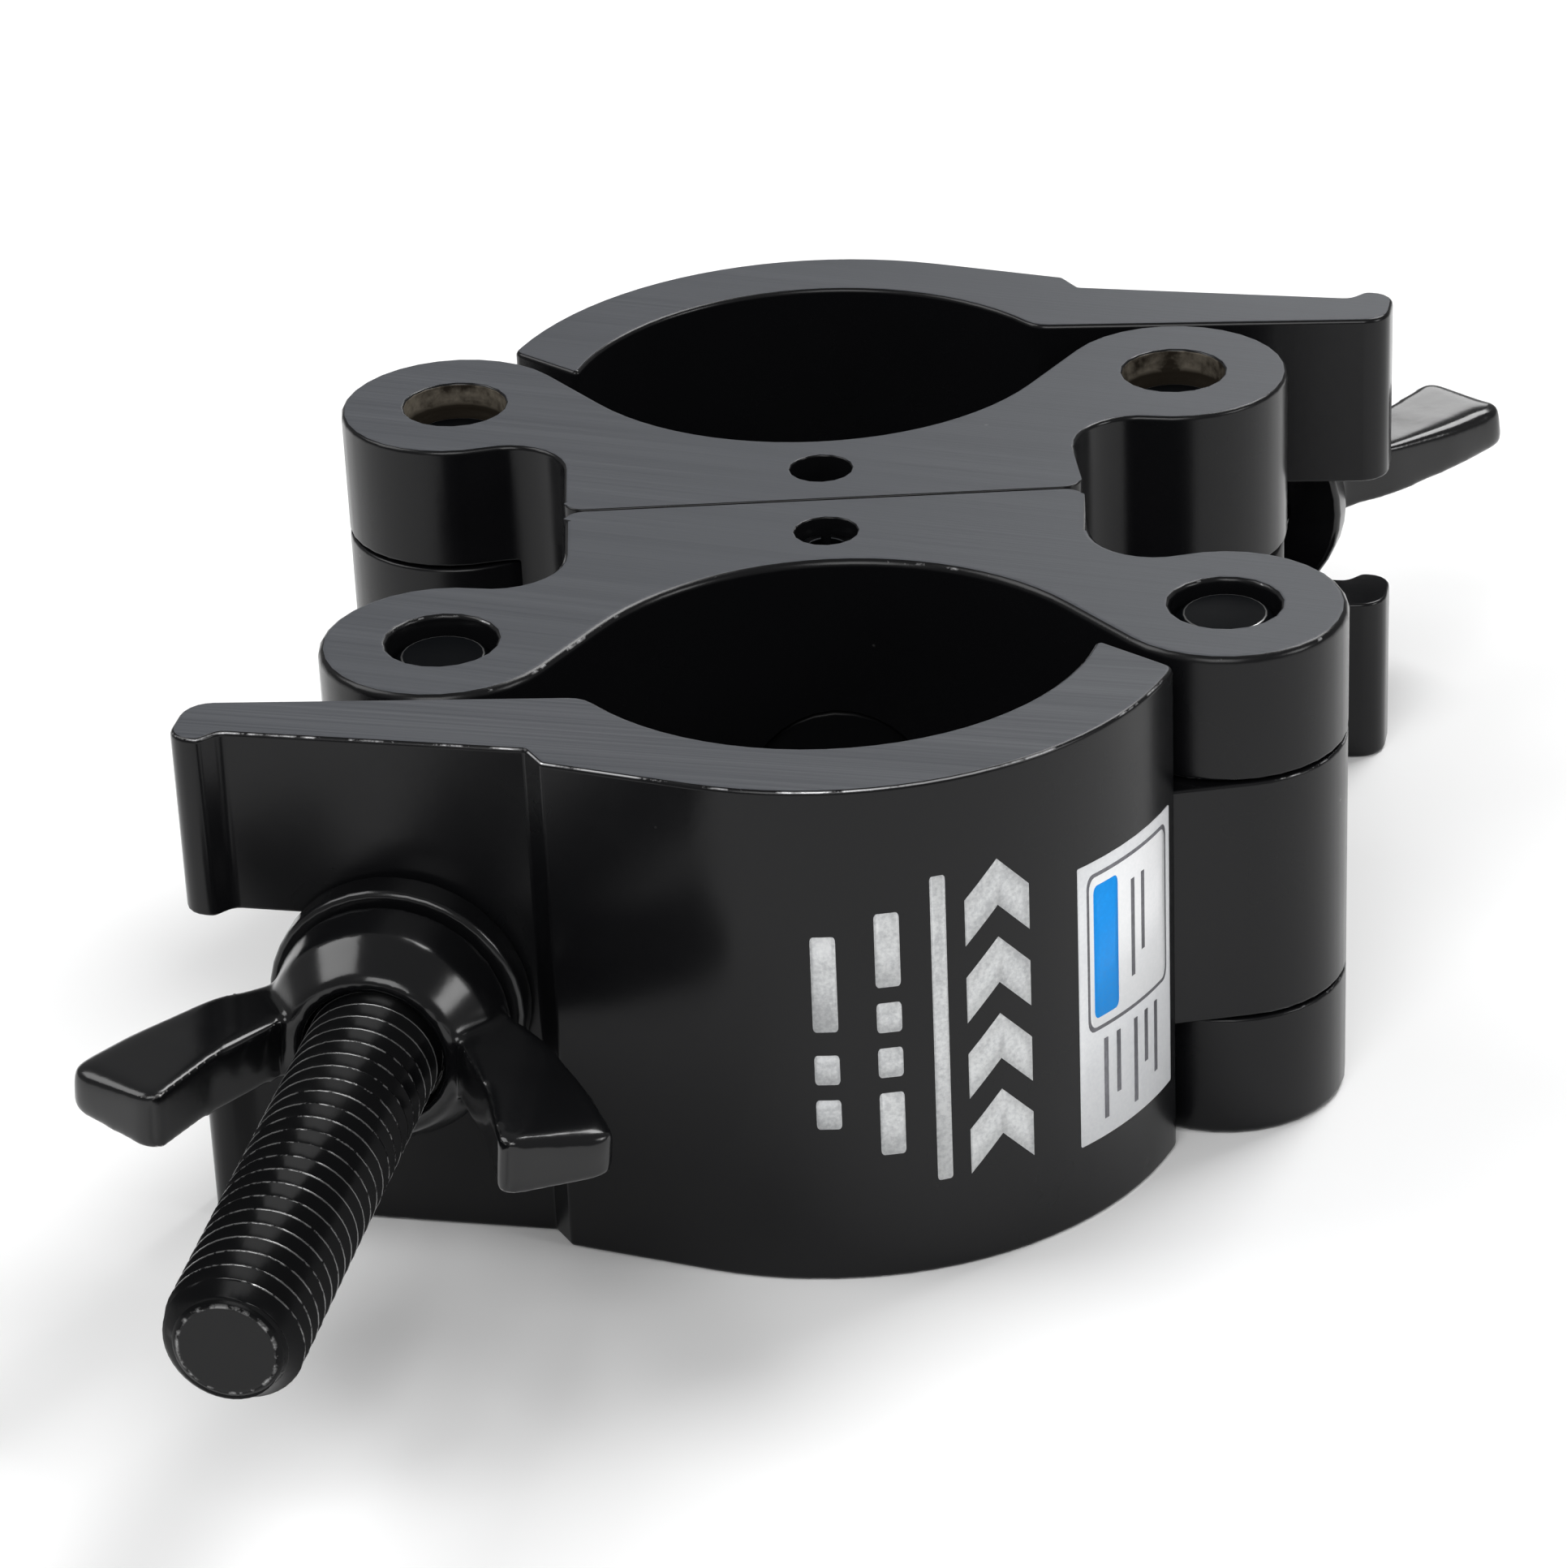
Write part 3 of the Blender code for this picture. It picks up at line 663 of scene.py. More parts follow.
def to_object(name: str, mesh: bmesh.types.BMesh, *materials: bpy.types.Material) -> bpy.types.Object:
    """Make a scene object of a bmesh, shaded smooth.

    Args:
        name: The piece's name.
        mesh: Its bmesh, which is freed.
        *materials: Its materials, by slot.

    Returns:
        The object.
    """
    data = bpy.data.meshes.new(name)
    mesh.to_mesh(data)
    mesh.free()
    for material in materials:
        data.materials.append(material)
    data.shade_smooth()
    piece = bpy.data.objects.new(name, data)
    bpy.context.scene.collection.objects.link(piece)
    return piece


def keep_flats(piece: bpy.types.Object) -> None:
    """Let the large faces set the normals, so flats stay flat beside their rounds.

    Args:
        piece: The piece to shade.
    """
    piece.data.set_sharp_from_angle(angle=math.radians(46.0))
    weighted = piece.modifiers.new("flat_normals", "WEIGHTED_NORMAL")
    weighted.mode = "FACE_AREA"
    weighted.weight = 50
    weighted.keep_sharp = True


def settle(piece: bpy.types.Object, body: str, slot: str, *nodes: str) -> None:
    """Let a piece ride on its body and stand for its solids.

    Args:
        piece: The piece.
        body: The body that it rides on.
        slot: The record's material slot; not used.
        *nodes: The solids that it replaces.
    """
    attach(piece, body)
    if nodes:
        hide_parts(*nodes)
    LOG.info("%s on %s: %d faces", piece.name, body, len(piece.data.polygons))


def convex_marks(mesh: bmesh.types.BMesh, low: float, high: float) -> None:
    """Mark the outward bends of a dense mesh as worn.

    Args:
        mesh: A mesh of even faces.
        low: Bend, as a share of the edge length, where wear starts.
        high: Bend where it is full.
    """
    mark = mesh.loops.layers.float.get(WEAR) or mesh.loops.layers.float.new(WEAR)
    mesh.normal_update()
    bend: dict[int, float] = {}
    for vert in mesh.verts:
        around = [e.other_vert(vert).co for e in vert.link_edges]
        middle = sum(around, Vector()) / len(around)
        length = sum((p - vert.co).length for p in around) / len(around)
        bend[vert.index] = (vert.co - middle).dot(vert.normal) / length
    for face in mesh.faces:
        for loop in face.loops:
            loop[mark] = min(max((bend[loop.vert.index] - low) / (high - low), 0.0), 1.0)


@dataclass
class HalfClamp:
    """One half: saddle, jaw, two pins, eyebolt, washer and wing nut."""

    half: Half
    frame: dict[str, Any]
    fx: Effects
    bolt_lean: float
    bolt_length: float
    saddle_finish: CoatedExtrusion
    jaw_finish: CoatedExtrusion
    hardware: GlossPaint
    thread_finish: GlossPaint
    washer_finish: GlossPaint
    pin_finish: GlossPaint
    hole_finish: WornSteel | None = None
    saddle_edge: float = 0.8 * MM
    jaw_edge: float = 0.5 * MM
    gap_edge: float = 0.35 * MM
    seam_edge: float = 0.2 * MM
    recess_edge: float = 0.05 * MM
    hole_edge: float = 0.3 * MM
    pin_chamfer: float = 1.0 * MM
    eye_r: float = 11.0 * MM
    eye_t: float = 14.0 * MM
    crest_r: float = 6.1 * MM
    root_r: float = 4.95 * MM
    shank_r: float = 5.5 * MM
    thread_start: float = 15.0 * MM
    pitch: float = 2.1 * MM
    turn_steps: int = 44
    tip_reach: float = 9.0 * MM
    tip_passes: int = 60

    def name(self, part: str) -> str:
        """A piece's name with the half's own word before it."""
        return f"{self.half.value}_{part}"

    def to_world(self) -> Matrix:
        """The half's place."""
        return Matrix.Translation((0.0, 0.0, MID)) @ Matrix.Rotation(self.half.turn, 4, "Z")

    def bolt_place(self) -> Matrix:
        """Frame of the eyebolt: Z out along the bolt, Y up along the pin."""
        lean = Matrix.Rotation(-math.radians(self.bolt_lean), 4, "Z")
        upright = Matrix.Rotation(math.pi / 2, 4, "X")
        return self.to_world() @ Matrix.Translation((-PIN_X, -PIN_Y, 0.0)) @ lean @ upright

    def pin_centres(self) -> list[Vector]:
        """The two pins' axes in the plane."""
        return [(self.to_world() @ Vector((side * PIN_X, -PIN_Y, 0.0))).to_2d() for side in (-1.0, 1.0)]

    def in_pin_hole(self, point: Vector) -> bool:
        """Whether a point lies on the wall of a pin hole."""
        return any(abs((point.to_2d() - c).length - PIN_HOLE_R) < 0.12 * MM for c in self.pin_centres())

    def on_bore(self, point: Vector) -> bool:
        """Whether a point lies on the cradle's wall."""
        axis = (self.to_world() @ Vector((0.0, -BORE_DEPTH, 0.0))).to_2d()
        return abs((point.to_2d() - axis).length - BORE_R) < 0.2 * MM

    def build_saddle(self) -> None:
        """Saddle with broken edges, sawn ends and, where bare, bored hole walls."""
        mesh = node_copy(self.frame, self.name("saddle"))
        self._slice_bore(mesh)

        def width(edge: bmesh.types.BMEdge) -> float:
            """Width of the round on one edge.

            Args:
                edge: A sharp edge.

            Returns:
                The width, or 0 to leave it.
            """
            rim = all(self.in_pin_hole(v.co) for v in edge.verts)
            if on_ends(edge):
                if rim:
                    return self.hole_edge
                return self.seam_edge if all(near_seam(v.co) for v in edge.verts) else self.saddle_edge
            if all(self.on_bore(v.co) for v in edge.verts):
                return self.recess_edge
            return self.gap_edge if is_level(edge) and not rim else 0.0

        break_edges(mesh, width)
        mark_faces(mesh, SAWN, is_sawn)
        materials = [self.saddle_finish.material(self.fx)]
        if self.hole_finish:
            materials.append(self.hole_finish.material(self.fx))
            for face in mesh.faces:
                if abs(face.normal.z) < 0.3 and all(self.in_pin_hole(v.co) for v in face.verts):
                    face.material_index = 1
        piece = to_object(self.name("saddle_coated"), mesh, *materials)
        keep_flats(piece)
        settle(piece, self.name("saddle"), self.name("saddle"), self.name("saddle"))

    def _slice_bore(self, mesh: bmesh.types.BMesh) -> None:
        """Cut the cradle's wall into strips, so that it stays round beside the pivot's recess.

        Args:
            mesh: The saddle's mesh.
        """
        for height in BORE_CUTS:
            wall = [f for f in mesh.faces if all(self.on_bore(v.co) for v in f.verts)]
            parts = {*wall, *(e for f in wall for e in f.edges), *(v for f in wall for v in f.verts)}
            bmesh.ops.bisect_plane(
                mesh, geom=list(parts), plane_co=(0.0, 0.0, height), plane_no=(0.0, 0.0, 1.0)
            )

    def build_jaw(self) -> None:
        """Jaw with broken edges and sawn ends."""
        mesh = node_copy(self.frame, self.name("jaw"))
        break_edges(mesh, lambda edge: self.jaw_edge if on_ends(edge) else self.gap_edge)
        mark_faces(mesh, SAWN, is_sawn)
        piece = to_object(self.name("jaw_coated"), mesh, self.jaw_finish.material(self.fx))
        keep_flats(piece)
        settle(piece, self.name("jaw"), self.name("jaw"), self.name("jaw"))

    def build_pins(self) -> None:
        """The hinge pin and the eyebolt pin, with softened chamfers."""
        finish = self.pin_finish.material(self.fx)
        for part, centre in zip(("eye_pin", "hinge_pin"), self.pin_centres()):
            mesh = node_copy(self.frame, self.name(part))
            self._crop_chamfer(mesh, centre)
            break_edges(mesh, lambda edge: 0.2 * MM, 2)
            piece = to_object(self.name(part + "_turned"), mesh, finish)
            keep_flats(piece)
            settle(piece, self.name("saddle"), self.name(part), self.name(part))

    def _crop_chamfer(self, mesh: bmesh.types.BMesh, centre: Vector) -> None:
        """Give a pin's ends this half's chamfer, at the same length and thickness.

        Args:
            mesh: The pin's mesh.
            centre: The pin's axis in the plane.
        """
        low = min(v.co.z for v in mesh.verts)
        high = max(v.co.z for v in mesh.verts)
        thick = max((v.co.to_2d() - centre).length for v in mesh.verts)
        for vert in mesh.verts:
            spread = vert.co.to_2d() - centre
            if spread.length < thick - TOUCH:
                vert.co.xy = centre + spread * (thick - self.pin_chamfer) / spread.length
            else:
                vert.co.z = high - self.pin_chamfer if vert.co.z > MID else low + self.pin_chamfer

    def build_eyebolt(self) -> None:
        """Eyebolt with a round eye, a plain shank and a rolled thread."""
        mesh = bmesh.new()
        mark = mesh.loops.layers.float.new(WEAR)
        self._spin_eye(mesh)
        self._spin_core(mesh)
        bmesh.ops.recalc_face_normals(mesh, faces=mesh.faces)
        self._spin_thread(mesh)
        for face in mesh.faces:
            face.material_index = int(all(v.co.z > self.bolt_length - TOUCH for v in face.verts))
            for loop in face.loops:
                place = loop.vert.co
                radius = math.hypot(place.x, place.y)
                on_bolt = place.z > self.thread_start
                crest = (radius - self.crest_r + 0.05 * MM) / (0.05 * MM)
                on_end = place.z > self.bolt_length - 0.1 * MM
                rim = on_end and abs(radius - self.root_r + 0.8 * MM) < 0.1 * MM
                loop[mark] = min(max(crest, 1.0 if rim else 0.0), 1.0) if on_bolt else 0.0
        bmesh.ops.transform(mesh, matrix=self.bolt_place(), verts=mesh.verts)
        end_finish = replace(self.thread_finish, name=self.name("bolt_end_paint"), gloss=0.25)
        materials = [finish.material(self.fx) for finish in (self.thread_finish, end_finish)]
        piece = to_object(self.name("eyebolt_threaded"), mesh, *materials)
        piece.data.set_sharp_from_angle(angle=math.radians(50.0))
        settle(piece, self.name("eyebolt"), self.name("eyebolt"), self.name("eyebolt"))

    def _spin_eye(self, mesh: bmesh.types.BMesh) -> None:
        """Ring of the eye, turned about the pin.

        Args:
            mesh: The mesh of the eyebolt.
        """
        half = self.eye_t / 2
        soft = 0.5 * MM
        points = [
            (PIN_HOLE_R, -half + soft),
            (PIN_HOLE_R + soft, -half),
            (self.eye_r - soft, -half),
            (self.eye_r, -half + soft),
            (self.eye_r, half - soft),
            (self.eye_r - soft, half),
            (PIN_HOLE_R + soft, half),
            (PIN_HOLE_R, half - soft),
        ]
        spin_loop(mesh, [Vector((r, y, 0.0)) for r, y in points], Vector((0.0, 1.0, 0.0)), 64, True)

    def _spin_core(self, mesh: bmesh.types.BMesh) -> None:
        """Shank, core of the thread and the chamfered end.

        Args:
            mesh: The mesh of the eyebolt.
        """
        end = self.bolt_length
        core = self.root_r - 0.05 * MM
        points = [
            (0.0, 8.0 * MM),
            (self.shank_r, 8.0 * MM),
            (self.shank_r, self.thread_start),
            (core, self.thread_start + 0.6 * MM),
            (core, end - 0.75 * MM),
            (core - 0.25 * MM, end - 0.25 * MM),
            (core - 0.75 * MM, end),
            (core - 1.05 * MM, end),
            (0.0, end),
        ]
        spin_loop(mesh, [Vector((r, 0.0, z)) for r, z in points], Vector((0.0, 0.0, 1.0)), 64, False)

    def _spin_thread(self, mesh: bmesh.types.BMesh) -> None:
        """Helical thread that runs in from the shank and fades into the end's chamfer.

        Args:
            mesh: The mesh of the eyebolt.
        """
        turns = math.ceil((self.bolt_length - self.thread_start) / self.pitch)
        rising = [(0.0, 0.0), (0.05, 0.04), (0.43, 0.90), (0.47, 1.0)]
        falling = [(0.53, 1.0), (0.57, 0.90), (0.95, 0.04), (1.0, 0.0)]
        depth = self.crest_r - self.root_r
        verts = [
            mesh.verts.new((self.root_r + depth * rise, 0.0, self.thread_start + along * self.pitch))
            for along, rise in rising + falling
        ]
        edges = [mesh.edges.new(pair) for pair in zip(verts, verts[1:])]
        old = set(mesh.verts) - set(verts)
        bmesh.ops.spin(
            mesh,
            geom=verts + edges,
            cent=(0.0, 0.0, 0.0),
            axis=(0.0, 0.0, 1.0),
            dvec=(0.0, 0.0, self.pitch / self.turn_steps),
            angle=2.0 * math.pi * turns,
            steps=turns * self.turn_steps,
            use_merge=False,
        )
        thread = [v for v in mesh.verts if v not in old]
        bmesh.ops.remove_doubles(mesh, verts=thread, dist=0.004 * MM)
        rims = [e for e in mesh.edges if e.is_boundary]
        bmesh.ops.holes_fill(mesh, edges=rims, sides=0)
        thread = [v for v in mesh.verts if v not in old]
        top = self.bolt_length - 0.3 * MM
        for vert in thread:
            radius = math.hypot(vert.co.x, vert.co.y)
            run_in = self.root_r + 0.35 * (vert.co.z - self.thread_start)
            run_out = self.root_r - 0.35 * MM + 1.1 * (self.bolt_length - vert.co.z)
            limit = max(min(radius, run_in, run_out), self.root_r - 0.3 * MM)
            vert.co.x *= limit / radius
            vert.co.y *= limit / radius
            vert.co.z = min(vert.co.z, top)
        skin = list({f for v in thread for f in v.link_faces})
        bmesh.ops.recalc_face_normals(mesh, faces=skin)
        if sum(f.normal.dot(Vector((*f.calc_center_median().xy, 0.0))) for f in skin) < 0.0:
            bmesh.ops.reverse_faces(mesh, faces=skin)

    def build_washer(self) -> None:
        """Thick washer with softened rims."""
        mesh = node_copy(self.frame, self.name("washer"))
        break_edges(mesh, lambda edge: 0.22 * MM, 2)
        piece = to_object(self.name("washer_turned"), mesh, self.washer_finish.material(self.fx))
        keep_flats(piece)
        settle(piece, self.name("washer"), self.name("washer"), self.name("washer"))

    def build_wing_nut(self) -> None:
        """Forged wing nut: the solid, melted together so that hub and wings flow into each other."""
        rough = node_copy(self.frame, self.name("wing_nut"))
        blank = to_object("nut_blank", rough)
        melt = blank.modifiers.new("melt", "REMESH")
        melt.mode = "VOXEL"
        melt.voxel_size = 0.30 * MM
        soften = blank.modifiers.new("soften", "SMOOTH")
        soften.factor = 0.5
        soften.iterations = 30
        bpy.context.view_layer.update()
        shaped = blank.evaluated_get(bpy.context.evaluated_depsgraph_get())
        mesh = bmesh.new()
        mesh.from_mesh(shaped.to_mesh())
        shaped.to_mesh_clear()
        bpy.data.objects.remove(blank, do_unlink=True)
        self._round_tips(mesh)
        convex_marks(mesh, 0.05, 0.16)
        piece = to_object(self.name("wing_nut_forged"), mesh, self.hardware.material(self.fx))
        settle(piece, self.name("wing_nut"), self.name("wing_nut"), self.name("wing_nut"))

    def _round_tips(self, mesh: bmesh.types.BMesh) -> None:
        """Round the wings' ends, as forging leaves them.

        Args:
            mesh: The mesh of the nut.
        """
        to_bolt = self.bolt_place().inverted()
        spread = {vert: (to_bolt @ vert.co).xy.length for vert in mesh.verts}
        reach = max(spread.values())
        for step in range(self.tip_passes):
            start = reach - self.tip_reach * (1.0 - step / self.tip_passes)
            tips = [vert for vert, radius in spread.items() if radius > start]
            bmesh.ops.smooth_vert(
                mesh, verts=tips, factor=0.5, use_axis_x=True, use_axis_y=True, use_axis_z=True
            )

    def build(self) -> None:
        """Build the half's pieces in order."""
        self.build_saddle()
        self.build_jaw()
        self.build_pins()
        self.build_eyebolt()
        self.build_washer()
        self.build_wing_nut()


def near_seam(point: Vector) -> bool:
    """Whether a point is on the seam's straight edge and notch, or on a cross hole in the neck."""
    return abs(point.y) < 2.3 * MM or (abs(point.x) < 4.0 * MM and abs(point.y) < 11.0 * MM)


def is_sawn(face: bmesh.types.BMFace) -> bool:
    """Whether a face is one of the sawn ends."""
    return abs(face.normal.z) > 0.98 and abs(face.calc_center_median().z - MID) > MID - 0.05 * MM


def spin_loop(mesh: bmesh.types.BMesh, points: list[Vector], axis: Vector, steps: int, closed: bool) -> None:
    """Turn a profile a full circle about an axis through the origin.

    Args:
        mesh: The mesh that takes the result.
        points: The profile.
        axis: The axis.
        steps: Steps in the circle.
        closed: Whether the profile is a closed loop.
    """
    verts = [mesh.verts.new(p) for p in points]
    pairs = list(zip(verts, verts[1:])) + ([(verts[-1], verts[0])] if closed else [])
    edges = [mesh.edges.new(pair) for pair in pairs]
    old = set(mesh.verts) - set(verts)
    bmesh.ops.spin(
        mesh,
        geom=verts + edges,
        cent=(0.0, 0.0, 0.0),
        axis=axis,
        angle=2.0 * math.pi,
        steps=steps,
        use_merge=True,
    )
    fresh = [v for v in mesh.verts if v not in old]
    bmesh.ops.remove_doubles(mesh, verts=fresh, dist=WELD)


@dataclass
class PivotSet:
    """The swivel's screw, sleeve nut and spring pin."""

    frame: dict[str, Any]
    fx: Effects
    head_finish: GlossPaint
    pin_finish: WornSteel

    def build(self) -> None:
        """Build the three pieces."""
        head = self.head_finish.material(self.fx)
        for node in ("pivot_screw", "pivot_sleeve"):
            self._soften(node, node + "_head", head)
        self._soften("lock_pin", "lock_pin_rolled", self.pin_finish.material(self.fx))

    def _soften(self, node: str, name: str, material: bpy.types.Material) -> None:
        """Copy a solid with its edges broken.

        Args:
            node: The solid.
            name: The piece's name.
            material: Its finish.
        """
        mesh = node_copy(self.frame, node)
        break_edges(mesh, lambda edge: 0.15 * MM, 2)
        piece = to_object(name, mesh, material)
        keep_flats(piece)
        settle(piece, "front_saddle", node, node)


@dataclass
class JawPrint:
    """Plain print and a plain foil label on the front jaw's outer face."""

    fx: Effects
    print_lift: float = 0.03 * MM
    foil_lift: float = 0.05 * MM
    depth: float = 0.12 * MM

    def build(self) -> None:
        """Build the print and the label's layers."""
        silver = Ink("silver_print", (0.66, 0.67, 0.67), (0.46, 0.47, 0.48), 0.15, 0.42)
        foil = Ink("label_foil", (0.78, 0.79, 0.80), (0.72, 0.73, 0.75), 0.05, 0.42)
        white = Ink("label_white", (0.92, 0.92, 0.93), (0.87, 0.88, 0.89), 0.0, 0.40)
        blue = Ink("label_blue", (0.006, 0.32, 0.88), (0.006, 0.28, 0.80), 0.0, 0.45)
        grey = Ink("label_grey", (0.20, 0.20, 0.22), (0.14, 0.14, 0.15), 0.0, 0.45)
        self._print(silver)
        self._label(foil, white, blue, grey)

    def _wrap(self, mesh: bmesh.types.BMesh, lift: float) -> None:
        """Lay a flat mesh, drawn as angle in degrees across and height up, on the jaw.

        Args:
            mesh: The flat mesh.
            lift: How far it stands off the jaw.
        """
        for vert in mesh.verts:
            angle = math.radians(vert.co.x / MM)
            radius = JAW_OUTER_R + lift
            place = JAW_AXIS + radius * Vector((math.cos(angle), math.sin(angle)))
            vert.co = (place.x, place.y, vert.co.y)
        mesh.normal_update()
        inward = [f for f in mesh.faces if f.normal.xy.dot(f.calc_center_median().xy - JAW_AXIS) < 0.0]
        bmesh.ops.reverse_faces(mesh, faces=inward)
        bmesh.ops.solidify(mesh, geom=mesh.faces[:], thickness=self.depth)

    @staticmethod
    def _bar(
        mesh: bmesh.types.BMesh, left: float, right: float, low: float, high: float, corner: float = 0.0
    ) -> None:
        """A flat bar, in degrees across and millimetres up, with rounded corners.

        Args:
            mesh: The flat mesh that takes it.
            left: Its left side.
            right: Its right side.
            low: Its lower side.
            high: Its upper side.
            corner: The corners' radius.
        """
        made = bmesh.ops.create_grid(mesh, x_segments=1, y_segments=1, size=0.5)
        stretch = Matrix.Diagonal(((right - left) * MM, (high - low) * MM, 1.0, 1.0))
        middle = Matrix.Translation(((left + right) / 2 * MM, (low + high) / 2 * MM, 0.0))
        bmesh.ops.transform(mesh, matrix=middle @ stretch, verts=made["verts"])
        if corner > 0.0:
            bmesh.ops.bevel(
                mesh,
                geom=made["verts"],
                offset=corner * MM,
                segments=4,
                profile=0.5,
                affect="VERTICES",
                material=-1,
            )

    @staticmethod
    def _slice(mesh: bmesh.types.BMesh, step: float = 1.5) -> None:
        """Cut a flat mesh into strips so that it can bend round the jaw.

        Args:
            mesh: The flat mesh.
            step: The strips' width in degrees.
        """
        low = min(v.co.x for v in mesh.verts)
        high = max(v.co.x for v in mesh.verts)
        place = low + step * MM
        while place < high - 0.1 * MM:
            geometry = mesh.verts[:] + mesh.edges[:] + mesh.faces[:]
            bmesh.ops.bisect_plane(mesh, geom=geometry, plane_co=(place, 0.0, 0.0), plane_no=(1.0, 0.0, 0.0))
            place += step * MM

    def _layer(self, name: str, mesh: bmesh.types.BMesh, lift: float, ink: Ink) -> None:
        """Bend a flat layer round the jaw and dress it.

        Args:
            name: The piece's name.
            mesh: The flat mesh.
            lift: How far it stands off the jaw.
            ink: Its finish.
        """
        self._slice(mesh)
        self._wrap(mesh, lift)
        piece = to_object(name, mesh, ink.material(self.fx))
        settle(piece, "front_jaw", "front_jaw")

    @staticmethod
    def _chevron(mesh: bmesh.types.BMesh, low: float) -> None:
        """A flat chevron that points up, in degrees across and millimetres up.

        Args:
            mesh: The flat mesh that takes it.
            low: Height of its lower corners.
        """
        left = -71.2
        right = -60.4
        middle = (left + right) / 2
        arm = 4.6
        rise = 3.4
        corners = [(left, low), (middle, low + rise), (right, low)]
        corners += [(right, low + arm), (middle, low + rise + arm), (left, low + arm)]
        mesh.faces.new([mesh.verts.new((x * MM, y * MM, 0.0)) for x, y in corners])

    def _print(self, silver: Ink) -> None:
        """Plain chevrons, a rule and two rows of dashes.

        Args:
            silver: The print's finish.
        """
        mesh = bmesh.new()
        for low in (9.6, 17.4, 25.2, 33.0):
            self._chevron(mesh, low)
        self._bar(mesh, -76.6, -74.2, 9.6, 40.6, 0.4)
        for low, high in ((13.0, 19.4), (21.0, 24.0), (25.6, 28.6), (30.2, 37.6)):
            self._bar(mesh, -85.2, -81.4, low, high, 0.5)
        for low, high in ((16.0, 19.0), (20.6, 23.6), (26.0, 35.6)):
            self._bar(mesh, -94.8, -91.0, low, high, 0.5)
        self._layer("jaw_print", mesh, self.print_lift, silver)

    def _label(self, foil: Ink, white: Ink, blue: Ink, grey: Ink) -> None:
        """Foil label with a white panel, a blue band and plain grey rules.

        Args:
            foil: Finish of the base.
            white: Finish of the panel.
            blue: Finish of the band.
            grey: Finish of the outline and the rules.
        """
        base = bmesh.new()
        self._bar(base, -51.2, -26.5, 8.2, 37.0, 0.2)
        self._layer("label_base", base, self.foil_lift, foil)
        outline = bmesh.new()
        self._bar(outline, -49.4, -28.0, 19.6, 35.8, 1.3)
        self._layer("label_outline", outline, self.foil_lift + 0.01 * MM, grey)
        panel = bmesh.new()
        self._bar(panel, -48.9, -28.5, 20.0, 35.4, 1.2)
        self._layer("label_panel", panel, self.foil_lift + 0.02 * MM, white)
        band = bmesh.new()
        self._bar(band, -48.0, -42.4, 20.9, 34.5, 0.8)
        self._layer("label_band", band, self.foil_lift + 0.04 * MM, blue)
        rules = bmesh.new()
        in_panel = [(-39.0, 23.0, 33.0), (-36.2, 25.0, 33.0)]
        below = [(-46.0, 10.0, 18.4), (-43.0, 12.0, 18.4), (-38.5, 9.6, 18.4)]
        below += [(-35.5, 13.0, 18.4), (-32.5, 11.0, 18.4)]
        for left, low, high in in_panel + below:
            self._bar(rules, left, left + 0.9, low, high)
        self._layer("label_rules", rules, self.foil_lift + 0.04 * MM, grey)


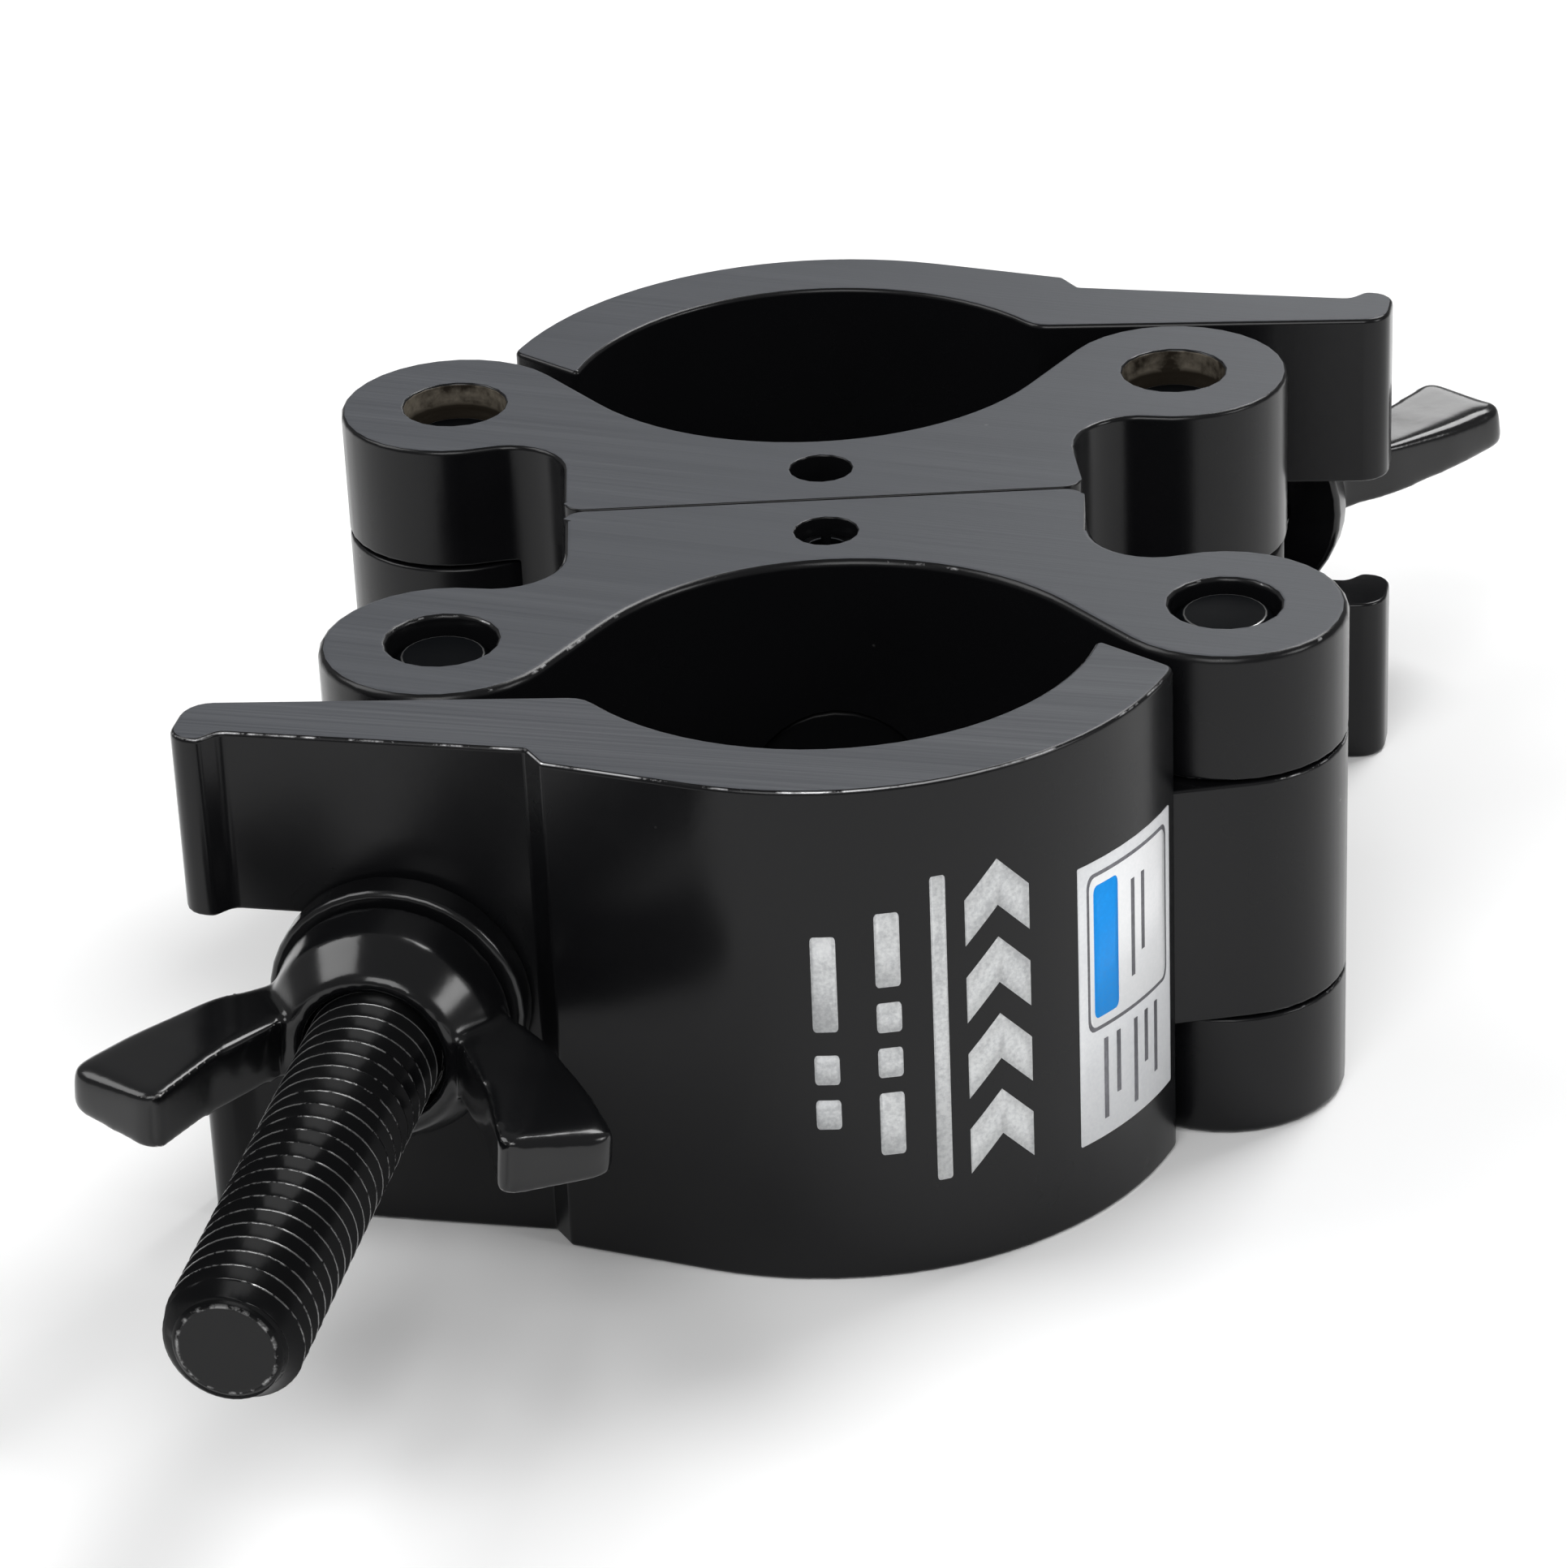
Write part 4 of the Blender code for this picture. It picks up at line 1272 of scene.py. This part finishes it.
@dataclass
class Studio:
    """Pale floor, soft lights and the camera."""

    focal_px: float = 6920.72
    image_px: float = 1931.0
    eye: tuple[float, float, float] = (-0.00886068, -0.48392556, 0.27769615)
    yaw: float = 0.008
    pitch: float = 0.49009
    roll: float = -0.04399
    floor_colour: RGB = (0.93, 0.93, 0.93)
    white_from: tuple[float, float] = (0.32, 0.9)
    world_strength: float = 0.26
    lamps: list[tuple[str, tuple[float, float, float], float, float]] = field(
        default_factory=lambda: [
            ("key_box", (0.42, 0.40, 0.80), 0.40, 5.6),
            ("back_box", (0.24, 1.00, 0.41), 0.24, 0.65),
            ("left_box", (-0.62, 0.08, 0.70), 0.50, 3.4),
            ("right_box", (0.74, -0.35, 0.42), 0.26, 1.5),
            ("front_box", (-0.20, -1.00, 0.95), 0.70, 7.5),
        ]
    )

    def build(self) -> None:
        """Build the stage."""
        self._camera()
        self._floor()
        self._world()
        for name, place, size, power in self.lamps:
            self._lamp(name, Vector(place), size, power)
        bpy.context.scene.view_settings.view_transform = "Standard"

    def _camera(self) -> None:
        """Camera solved from the object's own features."""
        data = bpy.data.cameras.new("camera")
        data.sensor_fit = "HORIZONTAL"
        data.sensor_width = 36.0
        data.lens = data.sensor_width * self.focal_px / self.image_px
        data.clip_start = 0.01
        ahead = Vector(
            (
                math.sin(self.yaw) * math.cos(self.pitch),
                math.cos(self.yaw) * math.cos(self.pitch),
                -math.sin(self.pitch),
            )
        )
        level = Vector((math.cos(self.yaw), -math.sin(self.yaw), 0.0))
        upward = level.cross(ahead)
        right = math.cos(self.roll) * level + math.sin(self.roll) * upward
        top = -math.sin(self.roll) * level + math.cos(self.roll) * upward
        camera = bpy.data.objects.new("camera", data)
        turn = Matrix((right, top, -ahead)).transposed().to_4x4()
        camera.matrix_world = Matrix.Translation(self.eye) @ turn
        bpy.context.scene.collection.objects.link(camera)
        bpy.context.scene.camera = camera

    def _floor(self) -> None:
        """Large pale floor, plain white where it is well away from the object."""
        mesh = bmesh.new()
        bmesh.ops.create_grid(mesh, x_segments=2, y_segments=2, size=12.0)
        material, sheet, shader = new_material("pale_floor")
        shader.inputs["Base Color"].default_value = (*self.floor_colour, 1.0)
        shader.inputs["Roughness"].default_value = 0.9
        shader.inputs["Specular IOR Level"].default_value = 0.0
        glow = sheet.add("ShaderNodeEmission")
        glow.inputs["Color"].default_value = (1.0, 1.0, 1.0, 1.0)
        rays = sheet.add("ShaderNodeLightPath").outputs
        seen = sheet.math("ADD", rays["Is Glossy Ray"], rays["Is Transmission Ray"])
        distance = sheet.add("ShaderNodeVectorMath", operation="LENGTH")
        sheet.feed(sheet.place(), distance.inputs[0])
        far = sheet.span(distance.outputs["Value"], *self.white_from)
        blend = sheet.add("ShaderNodeMixShader")
        seen = sheet.math("ADD", rays["Is Camera Ray"], seen)
        sheet.feed(sheet.math("MULTIPLY", seen, far, True), blend.inputs[0])
        sheet.feed(shader.outputs[0], blend.inputs[1])
        sheet.feed(glow.outputs[0], blend.inputs[2])
        sheet.feed(blend.outputs[0], material.node_tree.nodes["Material Output"].inputs["Surface"])
        floor = to_object("floor", mesh, material)

    def _world(self) -> None:
        """Even pale surroundings."""
        world = bpy.data.worlds.new("studio")
        bpy.context.scene.world = world
        world.use_nodes = True
        backdrop = world.node_tree.nodes["Background"]
        backdrop.inputs["Color"].default_value = (1.0, 1.0, 1.0, 1.0)
        backdrop.inputs["Strength"].default_value = self.world_strength

    @staticmethod
    def _lamp(name: str, place: Vector, size: float, power: float) -> None:
        """A square soft box that faces the object.

        Args:
            name: The lamp's name.
            place: Where it stands.
            size: Its side in metres.
            power: Its power in watts.
        """
        data = bpy.data.lights.new(name, "AREA")
        data.shape = "SQUARE"
        data.size = size
        data.energy = power
        lamp = bpy.data.objects.new(name, data)
        lamp.location = place
        lamp.rotation_euler = (Vector((0.0, 0.0, 0.02)) - place).to_track_quat("-Z", "Y").to_euler()
        bpy.context.scene.collection.objects.link(lamp)


def main() -> None:
    """Build the coupler's looks around its frame."""
    logging.basicConfig(level=logging.INFO, format="%(name)s: %(message)s")
    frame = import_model()
    fx = Effects()
    pin = GlossPaint(
        "pin_paint",
        paint=(0.0024, 0.0028, 0.0034),
        bare=(0.22, 0.22, 0.22),
        roughness=(0.4, 0.6),
        wear=0.95,
        wear_scale=900.0,
        gloss=0.02,
    )
    thread = GlossPaint(
        "front_thread_paint",
        paint=(0.0035, 0.0036, 0.0040),
        bare=(0.25, 0.25, 0.25),
        roughness=(0.16, 0.32),
        wear=0.70,
        wear_scale=900.0,
        gloss=0.09,
    )
    spring = WornSteel("spring_steel", (0.020, 0.021, 0.023), (0.005, 0.005, 0.006))
    # Bored wall: bare near the rim and darker deeper down, partly oily film and partly painted shade in the
    # hole.
    walls = WornSteel("bored_wall", (0.34, 0.30, 0.24), (0.045, 0.036, 0.026), 0.6, painted_shade_depth=1.8 * MM)
    HalfClamp(
        Half.FRONT,
        frame,
        fx,
        bolt_lean=12.6,
        bolt_length=78.8 * MM,
        saddle_finish=CoatedExtrusion("front_saddle_coat"),
        jaw_finish=CoatedExtrusion(
            "front_jaw_coat",
            sawn=(0.042, 0.045, 0.052),
            sawn_light=(0.094, 0.098, 0.106),
            saw_turn=0.25,
            wear=0.6,
        ),
        hardware=GlossPaint("front_hardware_paint", wear=0.66),
        thread_finish=thread,
        washer_finish=GlossPaint("front_washer_paint", wear=0.34),
        pin_finish=pin,
        hole_edge=0.5 * MM,
    ).build()
    HalfClamp(
        Half.REAR,
        frame,
        fx,
        bolt_lean=20.0,
        bolt_length=60.0 * MM,
        saddle_finish=CoatedExtrusion("rear_saddle_coat", wear=0.25),
        jaw_finish=CoatedExtrusion("rear_jaw_coat", wear=0.2),
        hardware=GlossPaint("rear_hardware_paint", wear=0.3),
        thread_finish=replace(thread, name="rear_thread_paint", bare=(0.24, 0.24, 0.24), wear=0.5),
        washer_finish=GlossPaint("rear_washer_paint", wear=0.25),
        pin_finish=pin,
        hole_finish=walls,
        saddle_edge=0.5 * MM,
        pin_chamfer=0.3 * MM,
    ).build()
    head = GlossPaint("pivot_paint", roughness=(0.34, 0.5), wear=0.05, gloss=0.15)
    PivotSet(frame, fx, head_finish=head, pin_finish=spring).build()
    JawPrint(fx).build()
    Studio().build()


if __name__ == "__main__":
    main()
